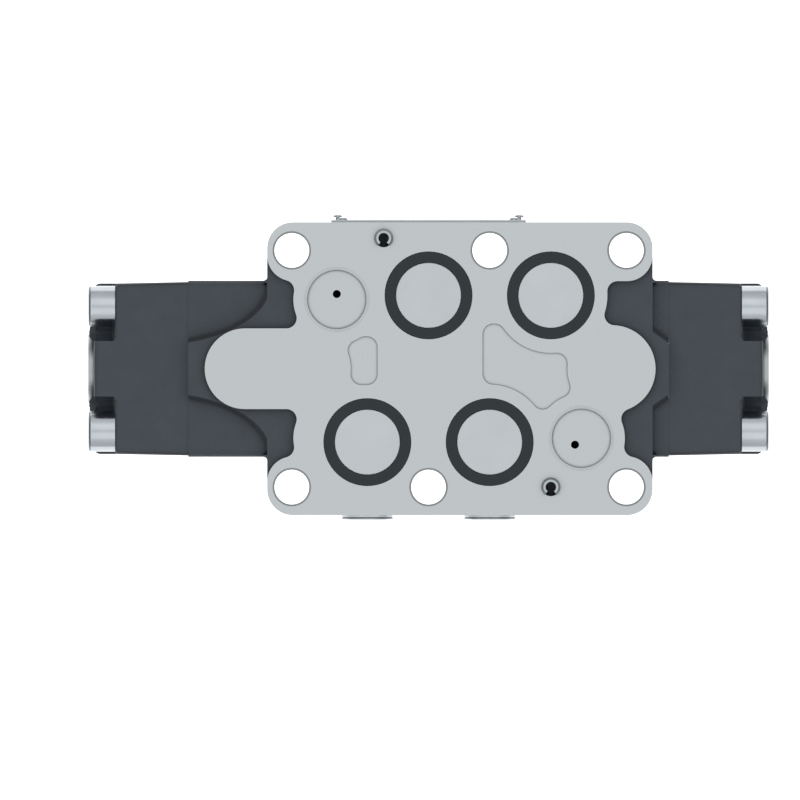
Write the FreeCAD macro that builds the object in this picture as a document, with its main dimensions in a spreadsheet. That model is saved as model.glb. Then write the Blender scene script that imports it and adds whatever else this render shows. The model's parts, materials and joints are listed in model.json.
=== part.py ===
# Pilot operated directional valve: a flange mounted spool valve with a solenoid pilot valve on top.
# The mounting face is the plane Z = 0, facing down. The spools run along X, and the origin is the
# centre of the screw pattern. The spool centre lies half a gallery pitch to the left of it.
import FreeCAD, Part
import math
import os
import re

import Sketcher
from FreeCAD import Placement, Rotation, Vector

# Driving sizes in millimetres: word, value, meaning. A value with = is worked out from other sizes
SIZES = [
    ("pitch", 23.8, "spacing of the galleries along the main spool"),
    ("bolt_long", 130.2, "corner screws, spacing along X"),
    ("bolt_wide", 92.1, "screw rows, spacing along Y"),
    ("bolt_hole", 13.5, "diameter of the screw holes"),
    ("edge_break", 0.75, "chamfer on holes in the mounting face"),
    ("spot_face", 20.0, "diameter of the screw seats"),
    ("spot_deep", 1.0, "depth of the screw seats"),
    ("port_row", 28.55, "distance of the main port rows from the spool axis"),
    ("port_bore", 25.0, "diameter of the main ports"),
    ("seat_wide", 34.2, "diameter of a port seal's seat"),
    ("seat_deep", 2.4, "depth of a port seal's seat"),
    ("seal_outer", 34.0, "outer diameter of a port seal"),
    ("seal_inner", 25.5, "inner diameter of a port seal"),
    ("seal_proud", 0.2, "how far a port seal stands out of the face"),
    ("seal_bevel", 0.3, "bevel of a port seal's edges"),
    ("plug_head", 25.3, "diameter of a port plug's head"),
    ("plug_deep", 9.0, "length of a port plug"),
    ("plug_wall", 1.6, "wall of a port plug"),
    ("plug_bevel", 0.2, "bevel of a port plug's head"),
    ("port_deep", 34.0, "depth of the main ports"),
    ("slip", 0.1, "radial clearance of what is pushed in by hand"),
    ("control_mouth", 25.6, "diameter of a pilot port seat at the face"),
    ("control_seat", 23.1, "diameter of a pilot port seat at its floor"),
    ("control_deep", 2.4, "depth of a pilot port seat"),
    ("control_lip", 0.6, "depth of the bevel round a pilot port seat"),
    ("control_drill", 3.15, "diameter of the pilot oil drillings"),
    ("inlet_along", 35.7, "pilot supply port, distance left of the spool centre"),
    ("inlet_across", 26.95, "pilot supply port, distance from the spool axis"),
    ("drain_along", 59.5, "pilot drain port, distance right of the spool centre"),
    ("drain_across", 27.05, "pilot drain port, distance from the spool axis"),
    ("inlet_drill_off", 2.13, "pilot supply drilling, offset across"),
    ("drain_drill_off", 2.5, "pilot drain drilling, offset along and across"),
    ("pin_wide", 7.5, "diameter of a locating pin's free end"),
    ("pin_hole", 7.1, "diameter of the hole that squeezes a locating pin"),
    ("pin_flare", 0.4, "length over which a locating pin widens outside the face"),
    ("pin_bore", 4.1, "bore of a locating pin"),
    ("pin_slit", 1.1, "slit of a locating pin"),
    ("pin_proud", 4.0, "length of a locating pin outside the face"),
    ("pin_sunk", 11.0, "length of a locating pin inside the housing"),
    ("pin_bevel", 0.85, "bevel at the ends of a locating pin"),
    ("front_pin_along", 17.45, "front locating pin, distance left of the spool centre"),
    ("front_pin_across", 50.8, "front locating pin, distance from the spool axis"),
    ("block_left", 62.8, "left side of the block, distance from the spool centre"),
    ("block_long", 150.0, "length of the block"),
    ("block_wide", 114.0, "width of the block"),
    ("block_high", 52.0, "height of the screw flange"),
    ("block_round", 10.0, "corner radius of the block"),
    ("cast_round", 4.0, "edge radius of the casting"),
    ("flare", 1.5, "radius of the hollow corners between the boss and the flange"),
    ("relief", 3.0, "height of the rough casting over the mounting face"),
    ("notch_half", 34.1, "half width of the side notches in the mounting face"),
    ("notch_round", 4.0, "inner corner radius of the notches"),
    ("control_wall", 16.9, "radius of the face round a pilot port"),
    ("port_wall", 22.0, "radius of the face round the tank port"),
    ("tongue_reach", 71.4, "distance of the tongue ends from the spool centre"),
    ("left_tongue", 15.7, "radius of the left tongue"),
    ("right_tongue", 16.95, "radius of the right tongue"),
    ("pocket_deep", 0.8, "depth of the shallow pockets in the mounting face"),
    ("pocket_round", 4.2, "corner radius of the shallow pockets"),
    ("pocket_gap", 17.35, "distance of a pocket from a pilot port or tongue centre"),
    ("pocket_port_gap", 22.4, "distance of a pocket from a main port centre"),
    ("small_right", 19.8, "right side of the small pocket, distance left of the spool centre"),
    ("small_front", 12.65, "front side of the small pocket, distance from the spool axis"),
    ("small_back", 6.35, "back side of the small pocket, distance from the spool axis"),
    ("large_left", 21.0, "left side of the large pocket, distance right of the spool centre"),
    ("large_front", 17.6, "front side of the large pocket, distance from the spool axis"),
    ("boss_past", 6.3, "length of the spool boss past the block's right side"),
    ("boss_long", "=2 * (block_long - block_left + boss_past)", "length of the spool boss"),
    ("boss_wide", 68.6, "width and height of the spool boss"),
    ("boss_round", 3.5, "edge radius of the spool boss"),
    ("spool_high", 42.0, "height of the main spool axis"),
    ("keel_half", 11.5, "half width of the keel at the end of the boss"),
    ("keel_knee_along", 69.4, "keel knee, distance left of the spool centre"),
    ("keel_knee_across", 21.0, "keel knee, distance from the spool axis"),
    ("keel_inset", 0.8, "how far the keel's sides lie inside the boss"),
    ("keel_sag", 1.7, "hollow of the keel's sides"),
    ("keel_shoulder", 15.9, "half width of the keel where it meets the block's right side"),
    ("keel_bevel", 1.5, "bevel of the keel's lower edge"),
    ("crown_long", 78.0, "length of the raised top"),
    ("crown_wide", 58.0, "width of the raised top"),
    ("pilot_face", 88.0, "height of the pilot valve's seat"),
    ("spool_wide", 32.0, "diameter of the main spool bore"),
    ("spool_gap", 0.03, "radial clearance of a spool in its bore"),
    ("gallery_wide", 12.0, "width of a gallery"),
    ("gallery_round", 46.0, "diameter of a gallery"),
    ("bridge_wide", 28.0, "width of the tank bridge"),
    ("bridge_thick", 5.5, "height of the tank bridge"),
    ("bridge_roof", 3.3, "wall between the tank bridge and the top of the spool boss"),
    ("overlap", 3.5, "how far a spool land covers each side of a gallery"),
    ("neck_wide", 19.0, "diameter of the main spool's necks"),
    ("spool_short", 10.5, "distance of the main spool's ends inside the boss"),
    ("spool_end", "=boss_long / 2 - spool_short", "half length of the main spool"),
    ("turned_bevel", 0.5, "bevel of turned edges"),
    ("head_bevel", 1.0, "bevel of screw heads and posts"),
    ("plate_thick", 3.0, "thickness of a spring plate"),
    ("plate_wide", 29.0, "diameter of a spring plate"),
    ("hub_wide", 19.6, "diameter of a spring plate's hub"),
    ("hub_long", 6.0, "length of a spring plate's hub"),
    ("spring_mean", 24.2, "mean diameter of a centring spring"),
    ("spring_wire", 3.4, "wire of a centring spring"),
    ("spring_turns", 5.0, "turns of a centring spring"),
    ("cover_half", 33.8, "half width of an end cover at its joint"),
    ("cover_end_half", 33.2, "half width of an end cover at its outer end"),
    ("cover_thick", 28.5, "thickness of an end cover's block"),
    ("cover_round", 3.0, "edge radius of an end cover"),
    ("web_half", 11.6, "half width of an end cover's webs"),
    ("web_long", 8.2, "length of an end cover's webs"),
    ("core_wide", 39.4, "diameter of an end cover's core"),
    ("web_round", 2.5, "radius of the webs' outer corners"),
    ("root_round", 1.2, "radius of the hollow corners round an end cover's webs"),
    ("post_foot", 21.0, "inner diameter of the ring of posts at the webs"),
    ("post_inner", 32.4, "inner diameter of the ring of posts at its end"),
    ("post_long", 10.1, "length of the posts between the webs"),
    ("disc_wide", 25.2, "diameter of an end cover's machined disc"),
    ("disc_long", 10.5, "distance of the disc's face from the block"),
    ("chamber_wide", 31.0, "diameter of a spring chamber"),
    ("chamber_deep", 32.5, "depth of a spring chamber"),
    ("cover_ring", 43.0, "mean diameter of an end cover's seal"),
    ("ring_wide", 2.8, "width of an end cover's seal"),
    ("ring_bevel", 0.6, "bevel of an end cover's seal"),
    ("ring_groove", 3.2, "width of an end cover's seal groove"),
    ("ring_thick", 2.2, "thickness of an end cover's seal"),
    ("screw_off", 24.25, "cover screws, distance from the spool axis each way"),
    ("screw_wide", 10.0, "diameter of a cover screw"),
    ("screw_head", 16.0, "diameter of a cover screw's head"),
    ("screw_head_high", 10.0, "height of a cover screw's head"),
    ("screw_hex", 8.0, "key size of a cover screw"),
    ("screw_bite", 16.5, "length of a cover screw in the housing"),
    ("screw_play", 1.0, "clearance of the cover's screw holes"),
    ("tap_extra", 4.0, "depth of a cover screw's hole past the screw"),
    ("small_tap_extra", 2.0, "depth of a smaller tapped hole past its screw"),
    ("thread_gap", 0.05, "radial gap between a screw's body and its tapped hole"),
    ("gauge_high", 26.0, "height of the gauge plugs"),
    ("gauge_head", 20.0, "diameter of a gauge plug's head"),
    ("gauge_head_high", 1.0, "height of a gauge plug's head"),
    ("gauge_body", 16.4, "diameter of a gauge plug's body"),
    ("gauge_long", 10.0, "length of a gauge plug's body"),
    ("gauge_bevel", 0.4, "bevel of a gauge plug's head"),
    ("gauge_hex", 8.0, "key size of a gauge plug"),
    ("gauge_drill", 6.0, "diameter of the gauge drillings"),
    ("washer_thick", 0.8, "thickness of a gauge plug's washer"),
    ("label_long", 75.8, "length of the nameplate"),
    ("label_high", 30.0, "height of the nameplate"),
    ("label_low", 11.0, "height of the nameplate's lower edge"),
    ("label_thick", 0.9, "thickness of the nameplate"),
    ("rivet_wide", 3.6, "diameter of a rivet head"),
    ("rivet_crown", 2.2, "diameter of the top of a rivet head"),
    ("rivet_short", 0.8, "head of a lower rivet"),
    ("rivet_tall", 1.9, "head of an upper rivet"),
    ("rivet_stem", 2.4, "diameter of a rivet's stem"),
    ("rivet_sunk", 5.0, "depth of a rivet's hole"),
    ("rivet_gap", 1.0, "gap under a rivet's stem"),
    ("rivet_margin", 4.6, "distance of the lower rivets from the nameplate's ends"),
    ("rivet_spread", 2.0, "how much further out the upper rivets sit"),
    ("rivet_edge", 4.0, "distance of a rivet from the nameplate's long edges"),
    ("pilot_half", 36.0, "half length of the pilot body"),
    ("pilot_wide", 46.0, "width of the pilot body"),
    ("pilot_high", 44.0, "height of the pilot body"),
    ("pilot_axis", 22.0, "height of the pilot spool over the pilot seat"),
    ("pilot_round", 3.0, "edge radius of the pilot body"),
    ("pilot_bore", 12.0, "diameter of the pilot spool's bore"),
    ("pilot_pitch", 9.0, "spacing of the pilot galleries"),
    ("pilot_gallery", 18.0, "diameter of the pilot galleries"),
    ("pilot_groove", 4.5, "width of the pilot galleries"),
    ("pilot_lap", 1.0, "how far a pilot land covers each side of a gallery"),
    ("pilot_neck", 7.2, "diameter of the pilot spool's neck"),
    ("pilot_stem", 6.4, "diameter of the pilot spool's stems"),
    ("stem_shoulder", 17.0, "distance of the stem shoulders from the centre"),
    ("pilot_end", 24.0, "half length of the pilot spool"),
    ("end_chamber", 17.0, "diameter of the pilot's end chambers"),
    ("pilot_stroke", 3.0, "travel of the pilot spool each way"),
    ("chamber_play", 0.5, "free length of a pilot end chamber past the spool's travel"),
    ("spring_seat", 15.0, "diameter of a pilot spring seat"),
    ("spring_seat_thick", 1.5, "thickness of a pilot spring seat"),
    ("seat_hole", 5.2, "hole of a pilot spring seat"),
    ("tip_wide", 5.0, "diameter of the pilot spool's tips"),
    ("pilot_spring_mean", 11.2, "mean diameter of a pilot spring"),
    ("pilot_spring_wire", 1.3, "wire of a pilot spring"),
    ("pilot_spring_turns", 4.0, "turns of a pilot spring"),
    ("port_small", 7.5, "diameter of the pilot valve's ports"),
    ("port_shift", 1.25, "how far the pilot ports lie off the middle along X"),
    ("port_across", 10.4, "distance of the pilot pressure and tank ports from the spool axis"),
    ("port_small_deep", 7.0, "depth of the pilot passages in the housing"),
    ("pilot_screw_along", 40.5, "pilot screws, spacing along X"),
    ("pilot_screw_across", 31.75, "pilot screws, spacing along Y"),
    ("pilot_screw", 5.0, "diameter of a pilot screw"),
    ("pilot_screw_head", 8.5, "diameter of a pilot screw's head"),
    ("pilot_screw_head_high", 5.0, "height of a pilot screw's head"),
    ("pilot_screw_hex", 4.0, "key size of a pilot screw"),
    ("pilot_screw_bite", 9.0, "length of a pilot screw in the housing"),
    ("pilot_screw_seat", 6.0, "depth of the seats for the pilot screws' heads"),
    ("small_ring", 12.2, "outer diameter of a pilot port seal"),
    ("small_ring_inner", 8.8, "inner diameter of a pilot port seal"),
    ("small_ring_thick", 1.4, "thickness of a pilot port seal"),
    ("nose_wide", 20.0, "diameter of the tube's threaded nose"),
    ("nose_long", 6.0, "length of the tube's threaded nose"),
    ("collar_wide", 26.0, "width of the tube's hexagon across flats"),
    ("collar_thick", 3.5, "thickness of the tube's hexagon"),
    ("tube_wide", 19.0, "diameter of an armature tube"),
    ("tube_end", 100.0, "distance of a tube's end from the centre"),
    ("pole_end", 56.0, "distance of the armature chamber from the centre"),
    ("armature_wide", 16.0, "diameter of the armature chamber"),
    ("chamber_end", 92.0, "where the armature chamber ends"),
    ("armature_start", 60.5, "where an armature starts"),
    ("armature_long", 25.5, "length of an armature"),
    ("rod_wide", 4.0, "diameter of a push rod"),
    ("rod_gap", 0.2, "radial clearance of a push rod in its tube"),
    ("tube_ring_wide", 1.8, "width of a tube seal"),
    ("tube_ring_thick", 1.2, "thickness of a tube seal"),
    ("coil_start", 40.0, "where a coil starts"),
    ("coil_long", 50.0, "length of a coil"),
    ("coil_wide", 45.0, "width of a coil"),
    ("coil_high", 46.0, "height of a coil"),
    ("coil_round", 6.0, "edge radius of a coil"),
    ("coil_ring_wide", 2.0, "width of a coil seal"),
    ("coil_ring_thick", 1.0, "thickness of a coil seal"),
    ("socket_wide", 27.0, "width of a coil's plug socket"),
    ("socket_round", 2.0, "corner radius of a coil's plug socket"),
    ("soft_edge", 1.0, "radius of the softened edges of a coil's ends"),
    ("socket_high", 9.0, "height of a coil's plug socket"),
    ("blade_wide", 6.3, "width of a terminal blade"),
    ("blade_thick", 0.8, "thickness of a terminal blade"),
    ("blade_high", 9.0, "height of a terminal blade"),
    ("blade_off", 7.0, "distance of the blades from the socket's centre"),
    ("blade_sunk", 3.0, "depth of a terminal blade in the coil"),
    ("nut_wide", 27.0, "diameter of a coil nut"),
    ("nut_long", 13.0, "length of a coil nut"),
    ("nut_bevel", 2.0, "bevel of a coil nut's end"),
    ("nut_mouth", 9.0, "opening in a coil nut's end"),
    ("nut_flutes", 12.0, "grip flutes of a coil nut"),
    ("flute_wide", 4.0, "diameter of a grip flute"),
    ("button_wide", 4.0, "diameter of an override pin"),
    ("button_gap", 0.05, "radial clearance of an override pin"),
    ("button_long", 10.0, "length of an override pin"),
]

doc = FreeCAD.newDocument("directional_valve")
sheet = doc.addObject("Spreadsheet::Sheet", "sizes")
for row, (word, value, meaning) in enumerate(SIZES, start=1):
    sheet.set(f"A{row}", word)
    sheet.set(f"B{row}", str(value))
    sheet.setAlias(f"B{row}", word)
    sheet.set(f"C{row}", meaning)
doc.recompute()
size = {word: float(sheet.get(word)) for word, value, meaning in SIZES}

TURNS = {
    "z": Rotation(),
    "-z": Rotation(Vector(1, 0, 0), 180),
    "x": Rotation(Vector(0, 1, 0), 90),
    "-x": Rotation(Vector(0, 1, 0), -90),
    "y": Rotation(Vector(1, 0, 0), -90),
    "-y": Rotation(Vector(1, 0, 0), 90),
}
SPOOL_CENTRE = "-pitch / 2"
UPPER_AXIS = "pilot_face + pilot_axis"
BRIDGE_TOP = "spool_high + boss_wide / 2 - bridge_roof"
SIDES = {"left": ("-1", "-x", "x"), "right": ("1", "x", "-x")}
CLOSE = 0.01
nodes = {}


def formula(text):
    """The text with every size's word pointed at the sheet."""
    return re.sub(r"[a-z_]+", lambda m: "sizes." + m.group() if m.group() in size else m.group(), str(text))


def bind(obj, formulas):
    for prop, text in formulas.items():
        obj.setExpression(prop, formula(text))
    return obj


def put(obj, x, y, z, along):
    """Place an object at formulas counted from the spool centre, with its own Z turned along an axis."""
    obj.Placement = Placement(Vector(), TURNS[along])
    places = {"x": f"{SPOOL_CENTRE} + ({x})", "y": y, "z": z}
    return bind(obj, {f"Placement.Base.{axis}": text for axis, text in places.items()})


def cylinder(name, wide, length, x="0", y="0", z="0", along="z"):
    obj = doc.addObject("Part::Cylinder", name)
    bind(obj, {"Radius": f"({wide}) / 2", "Height": length})
    return put(obj, x, y, z, along)


def cone(name, wide, end_wide, length, x="0", y="0", z="0", along="z"):
    obj = doc.addObject("Part::Cone", name)
    bind(obj, {"Radius1": f"({wide}) / 2", "Radius2": f"({end_wide}) / 2", "Height": length})
    return put(obj, x, y, z, along)


def box(name, long, wide, high, x="0", y="0", z="0"):
    """A box centred on x and y that stands on z."""
    obj = doc.addObject("Part::Box", name)
    bind(obj, {"Length": long, "Width": wide, "Height": high})
    return put(obj, f"({x}) - ({long}) / 2", f"({y}) - ({wide}) / 2", z, "z")


def hexagon(name, flats, length, x="0", y="0", z="0", along="z"):
    obj = doc.addObject("Part::Prism", name)
    obj.Polygon = 6
    bind(obj, {"Circumradius": f"({flats}) / 2 / cos(30deg)", "Height": length})
    return put(obj, x, y, z, along)


def fuse(name, parts):
    obj = doc.addObject("Part::MultiFuse", name)
    obj.Shapes = parts
    obj.Refine = True
    return obj


def cut(name, base, tools):
    tool = tools[0] if len(tools) == 1 else fuse(name + "_tools", tools)
    obj = doc.addObject("Part::Cut", name)
    obj.Base = base
    obj.Tool = tool
    obj.Refine = True
    return obj


def fixed(name, shape):
    """A shape worked out in code, counted from the spool centre."""
    obj = doc.addObject("Part::Feature", name)
    obj.Shape = shape
    obj.Placement = Placement(Vector(-size["pitch"] / 2, 0, 0), Rotation()).multiply(shape.Placement)
    return obj


def hold(sketch, line, kind, text, axis):
    """The constraint that holds a corner at a formula's distance from an axis, or on it."""
    if text == "0":
        sketch.addConstraint(Sketcher.Constraint("PointOnObject", line, 1, axis))
        return
    number = sketch.addConstraint(Sketcher.Constraint(kind, -1, 1, line, 1, 10.0))
    sketch.setExpression(f"Constraints[{number}]", formula(text))


def turned(name, profile, x="0", y="0", z="0", along="z"):
    """A lathe part: a closed profile of (diameter, height) corners turned round its own Z axis."""
    body = doc.addObject("PartDesign::Body", name)
    sketch = body.newObject("Sketcher::SketchObject", name + "_profile")
    plane = [f for f in body.Origin.OriginFeatures if f.Role == "XZ_Plane"][0]
    sketch.AttachmentSupport = [(plane, "")]
    sketch.MapMode = "FlatFace"
    count = len(profile)
    ring = [math.tau * (i / count + 0.5) for i in range(count)]
    start = [Vector(60 + 50 * math.cos(a), 60 + 50 * math.sin(a), 0) for a in ring]
    for i in range(count):
        sketch.addGeometry(Part.LineSegment(start[i], start[(i + 1) % count]), False)
    for i in range(count):
        sketch.addConstraint(Sketcher.Constraint("Coincident", i, 2, (i + 1) % count, 1))
    for i, (wide, height) in enumerate(profile):
        hold(sketch, i, "DistanceX", wide if wide == "0" else f"({wide}) / 2", -2)
        hold(sketch, i, "DistanceY", height, -1)
    turn = body.newObject("PartDesign::Revolution", name + "_turn")
    turn.Profile = sketch
    turn.ReferenceAxis = (sketch, ["V_Axis"])
    turn.Angle = 360
    body.Tip = turn
    return put(body, x, y, z, along)


def node(label, obj):
    """Keep an object as a sub-part under its own name."""
    obj.Label = label
    nodes[label] = obj
    return obj


def together(name, parts):
    """Several solids as one object."""
    obj = doc.addObject("Part::Compound", name)
    obj.Links = parts
    return obj


def group(label, source, places):
    """Copies of one piece at several places, as separate solids in one sub-part."""
    doc.recompute()
    copies = []
    for place in places:
        copy = source.Shape.copy()
        copy.translate(place)
        copies.append(copy)
    obj = doc.addObject("Part::Feature", label + "_group")
    obj.Shape = Part.makeCompound(copies)
    return node(label, obj)


def softened(name, base, radius, wanted):
    """A fillet on the edges of an object that a test on the edge's middle and box picks."""
    doc.recompute()
    obj = doc.addObject("Part::Fillet", name)
    obj.Base = base
    edges = enumerate(base.Shape.Edges, start=1)
    obj.Edges = [(i, radius, radius) for i, edge in edges if wanted(edge.CenterOfMass, edge.BoundBox)]
    return obj


def disc(x, y, radius):
    return Part.Face(Part.Wire(Part.makeCircle(radius, Vector(x, y, 0))))


def plate(left, right, low, high):
    return Part.makePlane(right - left, high - low, Vector(left, low, 0))


def face_land():
    """The machined mounting face: the block's outline with side notches, port walls and tongues."""
    left = -size["block_left"]
    right = left + size["block_long"]
    half = size["block_wide"] / 2
    notch = size["notch_half"]
    inlet = size["inlet_along"]
    drain = size["drain_along"]
    reach = size["tongue_reach"]
    outline = plate(left, right, -half, half)
    outline = outline.cut([plate(left, -inlet, -notch, notch), plate(drain, right, -notch, notch)])
    tongue = size["left_tongue"]
    walls = [
        disc(-inlet, -size["inlet_across"], size["control_wall"]),
        disc(-inlet, size["inlet_across"], size["control_wall"]),
        disc(drain, size["drain_across"], size["control_wall"]),
        disc(2 * size["pitch"], -size["port_row"], size["port_wall"]),
        plate(-reach, -inlet + size["control_wall"], -tongue, tongue),
        disc(-reach, 0, tongue),
        disc(reach, 0, size["right_tongue"]),
    ]
    deep = Vector(0, 0, size["relief"])
    land, *others = [face.extrude(deep) for face in outline.Faces + walls]
    land = land.fuse(others).removeSplitter()
    outline = [face for face in land.Faces if face.BoundBox.ZMax < CLOSE][0]
    outer = min(size["block_round"], 0.45 * (half - notch))
    inner = size["notch_round"]
    outline = outline.makeOffset2D(-outer).makeOffset2D(outer + inner).makeOffset2D(-inner)
    return outline.Faces[0].extrude(deep)


def pocket(outline, rings):
    """A shallow pocket that keeps its distance from the ports round it, with rounded corners."""
    outline = outline.cut([disc(x, y, r) for x, y, r in rings])
    outline = max(outline.Faces, key=lambda f: f.Area)
    outline = outline.makeOffset2D(-size["pocket_round"]).makeOffset2D(size["pocket_round"])
    return outline.Faces[0].extrude(Vector(0, 0, size["pocket_deep"]))


def small_pocket():
    rings = [
        (-size["inlet_along"], -size["inlet_across"], size["pocket_gap"]),
        (-2 * size["pitch"], 0, size["pocket_gap"]),
    ]
    outline = plate(-size["inlet_along"], -size["small_right"], -size["small_front"], size["small_back"])
    return pocket(outline, rings)


def large_pocket():
    rings = [
        (2 * size["pitch"], -size["port_row"], size["pocket_port_gap"]),
        (size["pitch"], size["port_row"], size["pocket_port_gap"]),
        (size["tongue_reach"], 0, size["pocket_gap"]),
        (size["drain_along"], size["drain_across"], size["pocket_gap"]),
    ]
    outline = plate(size["large_left"], size["drain_along"], -size["large_front"], size["pitch"])
    return pocket(outline, rings)


def hollow(points, sag):
    """One smooth curve through points that bows out to the right of the way between each two."""
    way = []
    for start, end in zip(points, points[1:]):
        across = (end - start).cross(Vector(0, 0, 1)).normalize()
        way += [start, (start + end) / 2 + across * sag]
    curve = Part.BSplineCurve()
    curve.interpolate(way + [points[-1]])
    return curve.toShape()


def keel():
    """The low casting under the spool boss that carries the tongues."""
    end = size["boss_long"] / 2
    half = size["boss_wide"] / 2 - size["keel_inset"]
    right = size["block_long"] - size["block_left"]
    tip = Vector(-end, size["keel_half"], 0)
    knee = Vector(-size["keel_knee_along"], size["keel_knee_across"], 0)
    hip = Vector(-size["block_left"], half, 0)
    shoulder = Vector(right, half, 0)
    waist = Vector(right, size["keel_shoulder"], 0)
    stern = Vector(end, size["keel_half"], 0)
    edges = [hollow([tip, knee, hip], size["keel_sag"])]
    for start, stop in ((hip, shoulder), (shoulder, waist), (waist, stern)):
        edges.append(Part.LineSegment(start, stop).toShape())
    mirrored = [e.mirror(Vector(), Vector(0, 1, 0)) for e in edges]
    for x in (-end, end):
        side = [Vector(x, size["keel_half"], 0), Vector(x, -size["keel_half"], 0)]
        edges.append(Part.LineSegment(*side).toShape())
    wire = Part.Wire(Part.__sortEdges__(edges + mirrored))
    high = size["spool_high"] / 2
    body = Part.Face(wire).extrude(Vector(0, 0, high - size["relief"]))
    body.translate(Vector(0, 0, size["relief"]))
    flank = size["relief"] + CLOSE
    edges = [e for e in body.Edges if e.BoundBox.ZMax < flank and abs(e.CenterOfMass.x) < end - CLOSE]
    return body.makeChamfer(size["keel_bevel"], edges)


PORTS = {
    "p": ("0", "-port_row"),
    "t": ("2 * pitch", "-port_row"),
    "a": ("pitch", "port_row"),
    "b": ("-pitch", "port_row"),
}
SCREW_HOLES = [
    ("pitch / 2 - bolt_long / 2", "-bolt_wide / 2"),
    ("pitch / 2 - bolt_long / 2", "bolt_wide / 2"),
    ("pitch / 2 + bolt_long / 2", "-bolt_wide / 2"),
    ("pitch / 2 + bolt_long / 2", "bolt_wide / 2"),
    ("pitch", "-bolt_wide / 2"),
    ("0", "bolt_wide / 2"),
]
CONTROL_PORTS = [
    ("-inlet_along", "-inlet_across", "0", "-inlet_drill_off"),
    ("drain_along", "drain_across", "-drain_drill_off", "drain_drill_off"),
]
PINS = {
    "front": ("-front_pin_along", "-front_pin_across"),
    "rear": ("2 * pitch", "bolt_wide / 2"),
}
COVER_SCREWS = [(across, up) for across in ("-screw_off", "screw_off") for up in ("-screw_off", "screw_off")]
PILOT_PORTS = {
    "p": ("port_shift", "port_across"),
    "t": ("port_shift", "-port_across"),
    "a": ("port_shift - pilot_pitch", "0"),
    "b": ("pilot_pitch", "0"),
}
PILOT_SCREWS = [
    (f"{along} * pilot_screw_along / 2", f"{across} * pilot_screw_across / 2")
    for along in ("-1", "1")
    for across in ("-1", "1")
]


def rivet_places():
    """The nameplate's four rivets as formulas for x and z: the lower pair, then the upper pair."""
    lower = "label_long / 2 - rivet_margin"
    upper = f"{lower} + rivet_spread"
    bottom = "label_low + rivet_edge"
    top = "label_low + label_high - rivet_edge"
    return [(f"-({lower})", bottom), (lower, bottom), (f"-({upper})", top), (upper, top)]


def flares():
    """Hollow corners where the sides of the spool boss meet the ends of the flange."""
    found = []
    high = "block_high - cast_round - relief"
    ends = {"left": ("-1", "-block_left"), "right": ("1", "block_long - block_left")}
    for end, (out, at) in ends.items():
        for side, sign in (("front", "-1"), ("rear", "1")):
            name = f"flare_{end}_{side}"
            across = f"{sign} * (boss_wide / 2 + (flare - keel_inset) / 2)"
            corner = box(f"{name}_corner", "2 * flare", "flare + keel_inset", high, at, across, "relief")
            bow_at = (f"{at} + {out} * flare", f"{sign} * (boss_wide / 2 + flare)", "relief")
            found.append(cut(name, corner, [cylinder(f"{name}_bow", "2 * flare", high, *bow_at)]))
    return found


def casting():
    """The housing's outer form: flange, spool boss, raised top, mounting face and keel."""
    middle = "block_long / 2 - block_left"
    flange = box("flange", "block_long", "block_wide", "block_high - relief", middle, "0", "relief")
    boss = box("boss", "boss_long", "boss_wide", "boss_wide", "0", "0", "spool_high - boss_wide / 2")
    crown = box("crown", "crown_long", "crown_wide", "pilot_face - spool_high", "0", "0", "spool_high")
    soft = size["cast_round"]
    flange_top = size["block_high"] - CLOSE
    crown_top = size["pilot_face"] - CLOSE
    boss_reach = size["boss_long"] - CLOSE
    flange = softened("flange_corners", flange, size["block_round"], lambda m, b: b.ZLength > soft)
    flange = softened("flange_edges", flange, soft, lambda m, b: b.ZMin > flange_top)
    boss = softened("boss_edges", boss, size["boss_round"], lambda m, b: b.XLength > boss_reach)
    crown = softened("crown_corners", crown, soft, lambda m, b: b.ZLength > soft)
    crown = softened("crown_edges", crown, soft / 2, lambda m, b: b.ZMin > crown_top)
    lower = [fixed("face_land", face_land()), fixed("keel", keel())]
    return fuse("casting", [*lower, flange, boss, crown, *flares()])


def spool_passages():
    """The main bore with its galleries, and the bridge that joins both tank galleries."""
    tools = [cylinder("main_bore", "spool_wide", "boss_long", "-boss_long / 2", "0", "spool_high", "x")]
    for i, step in enumerate((-2, -1, 0, 1, 2)):
        at = (f"{step} * pitch - gallery_wide / 2", "0", "spool_high")
        tools.append(cylinder(f"gallery_{i}", "gallery_round", "gallery_wide", *at, "x"))
    for i, step in enumerate((-2, 2)):
        at = (f"{step} * pitch", "0", "spool_high")
        tools.append(box(f"riser_{i}", "gallery_wide", "bridge_wide", f"{BRIDGE_TOP} - spool_high", *at))
    floor = f"{BRIDGE_TOP} - bridge_thick"
    tools.append(box("tank_bridge", "4 * pitch", "bridge_wide", "bridge_thick", "0", "0", floor))
    return tools


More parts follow.
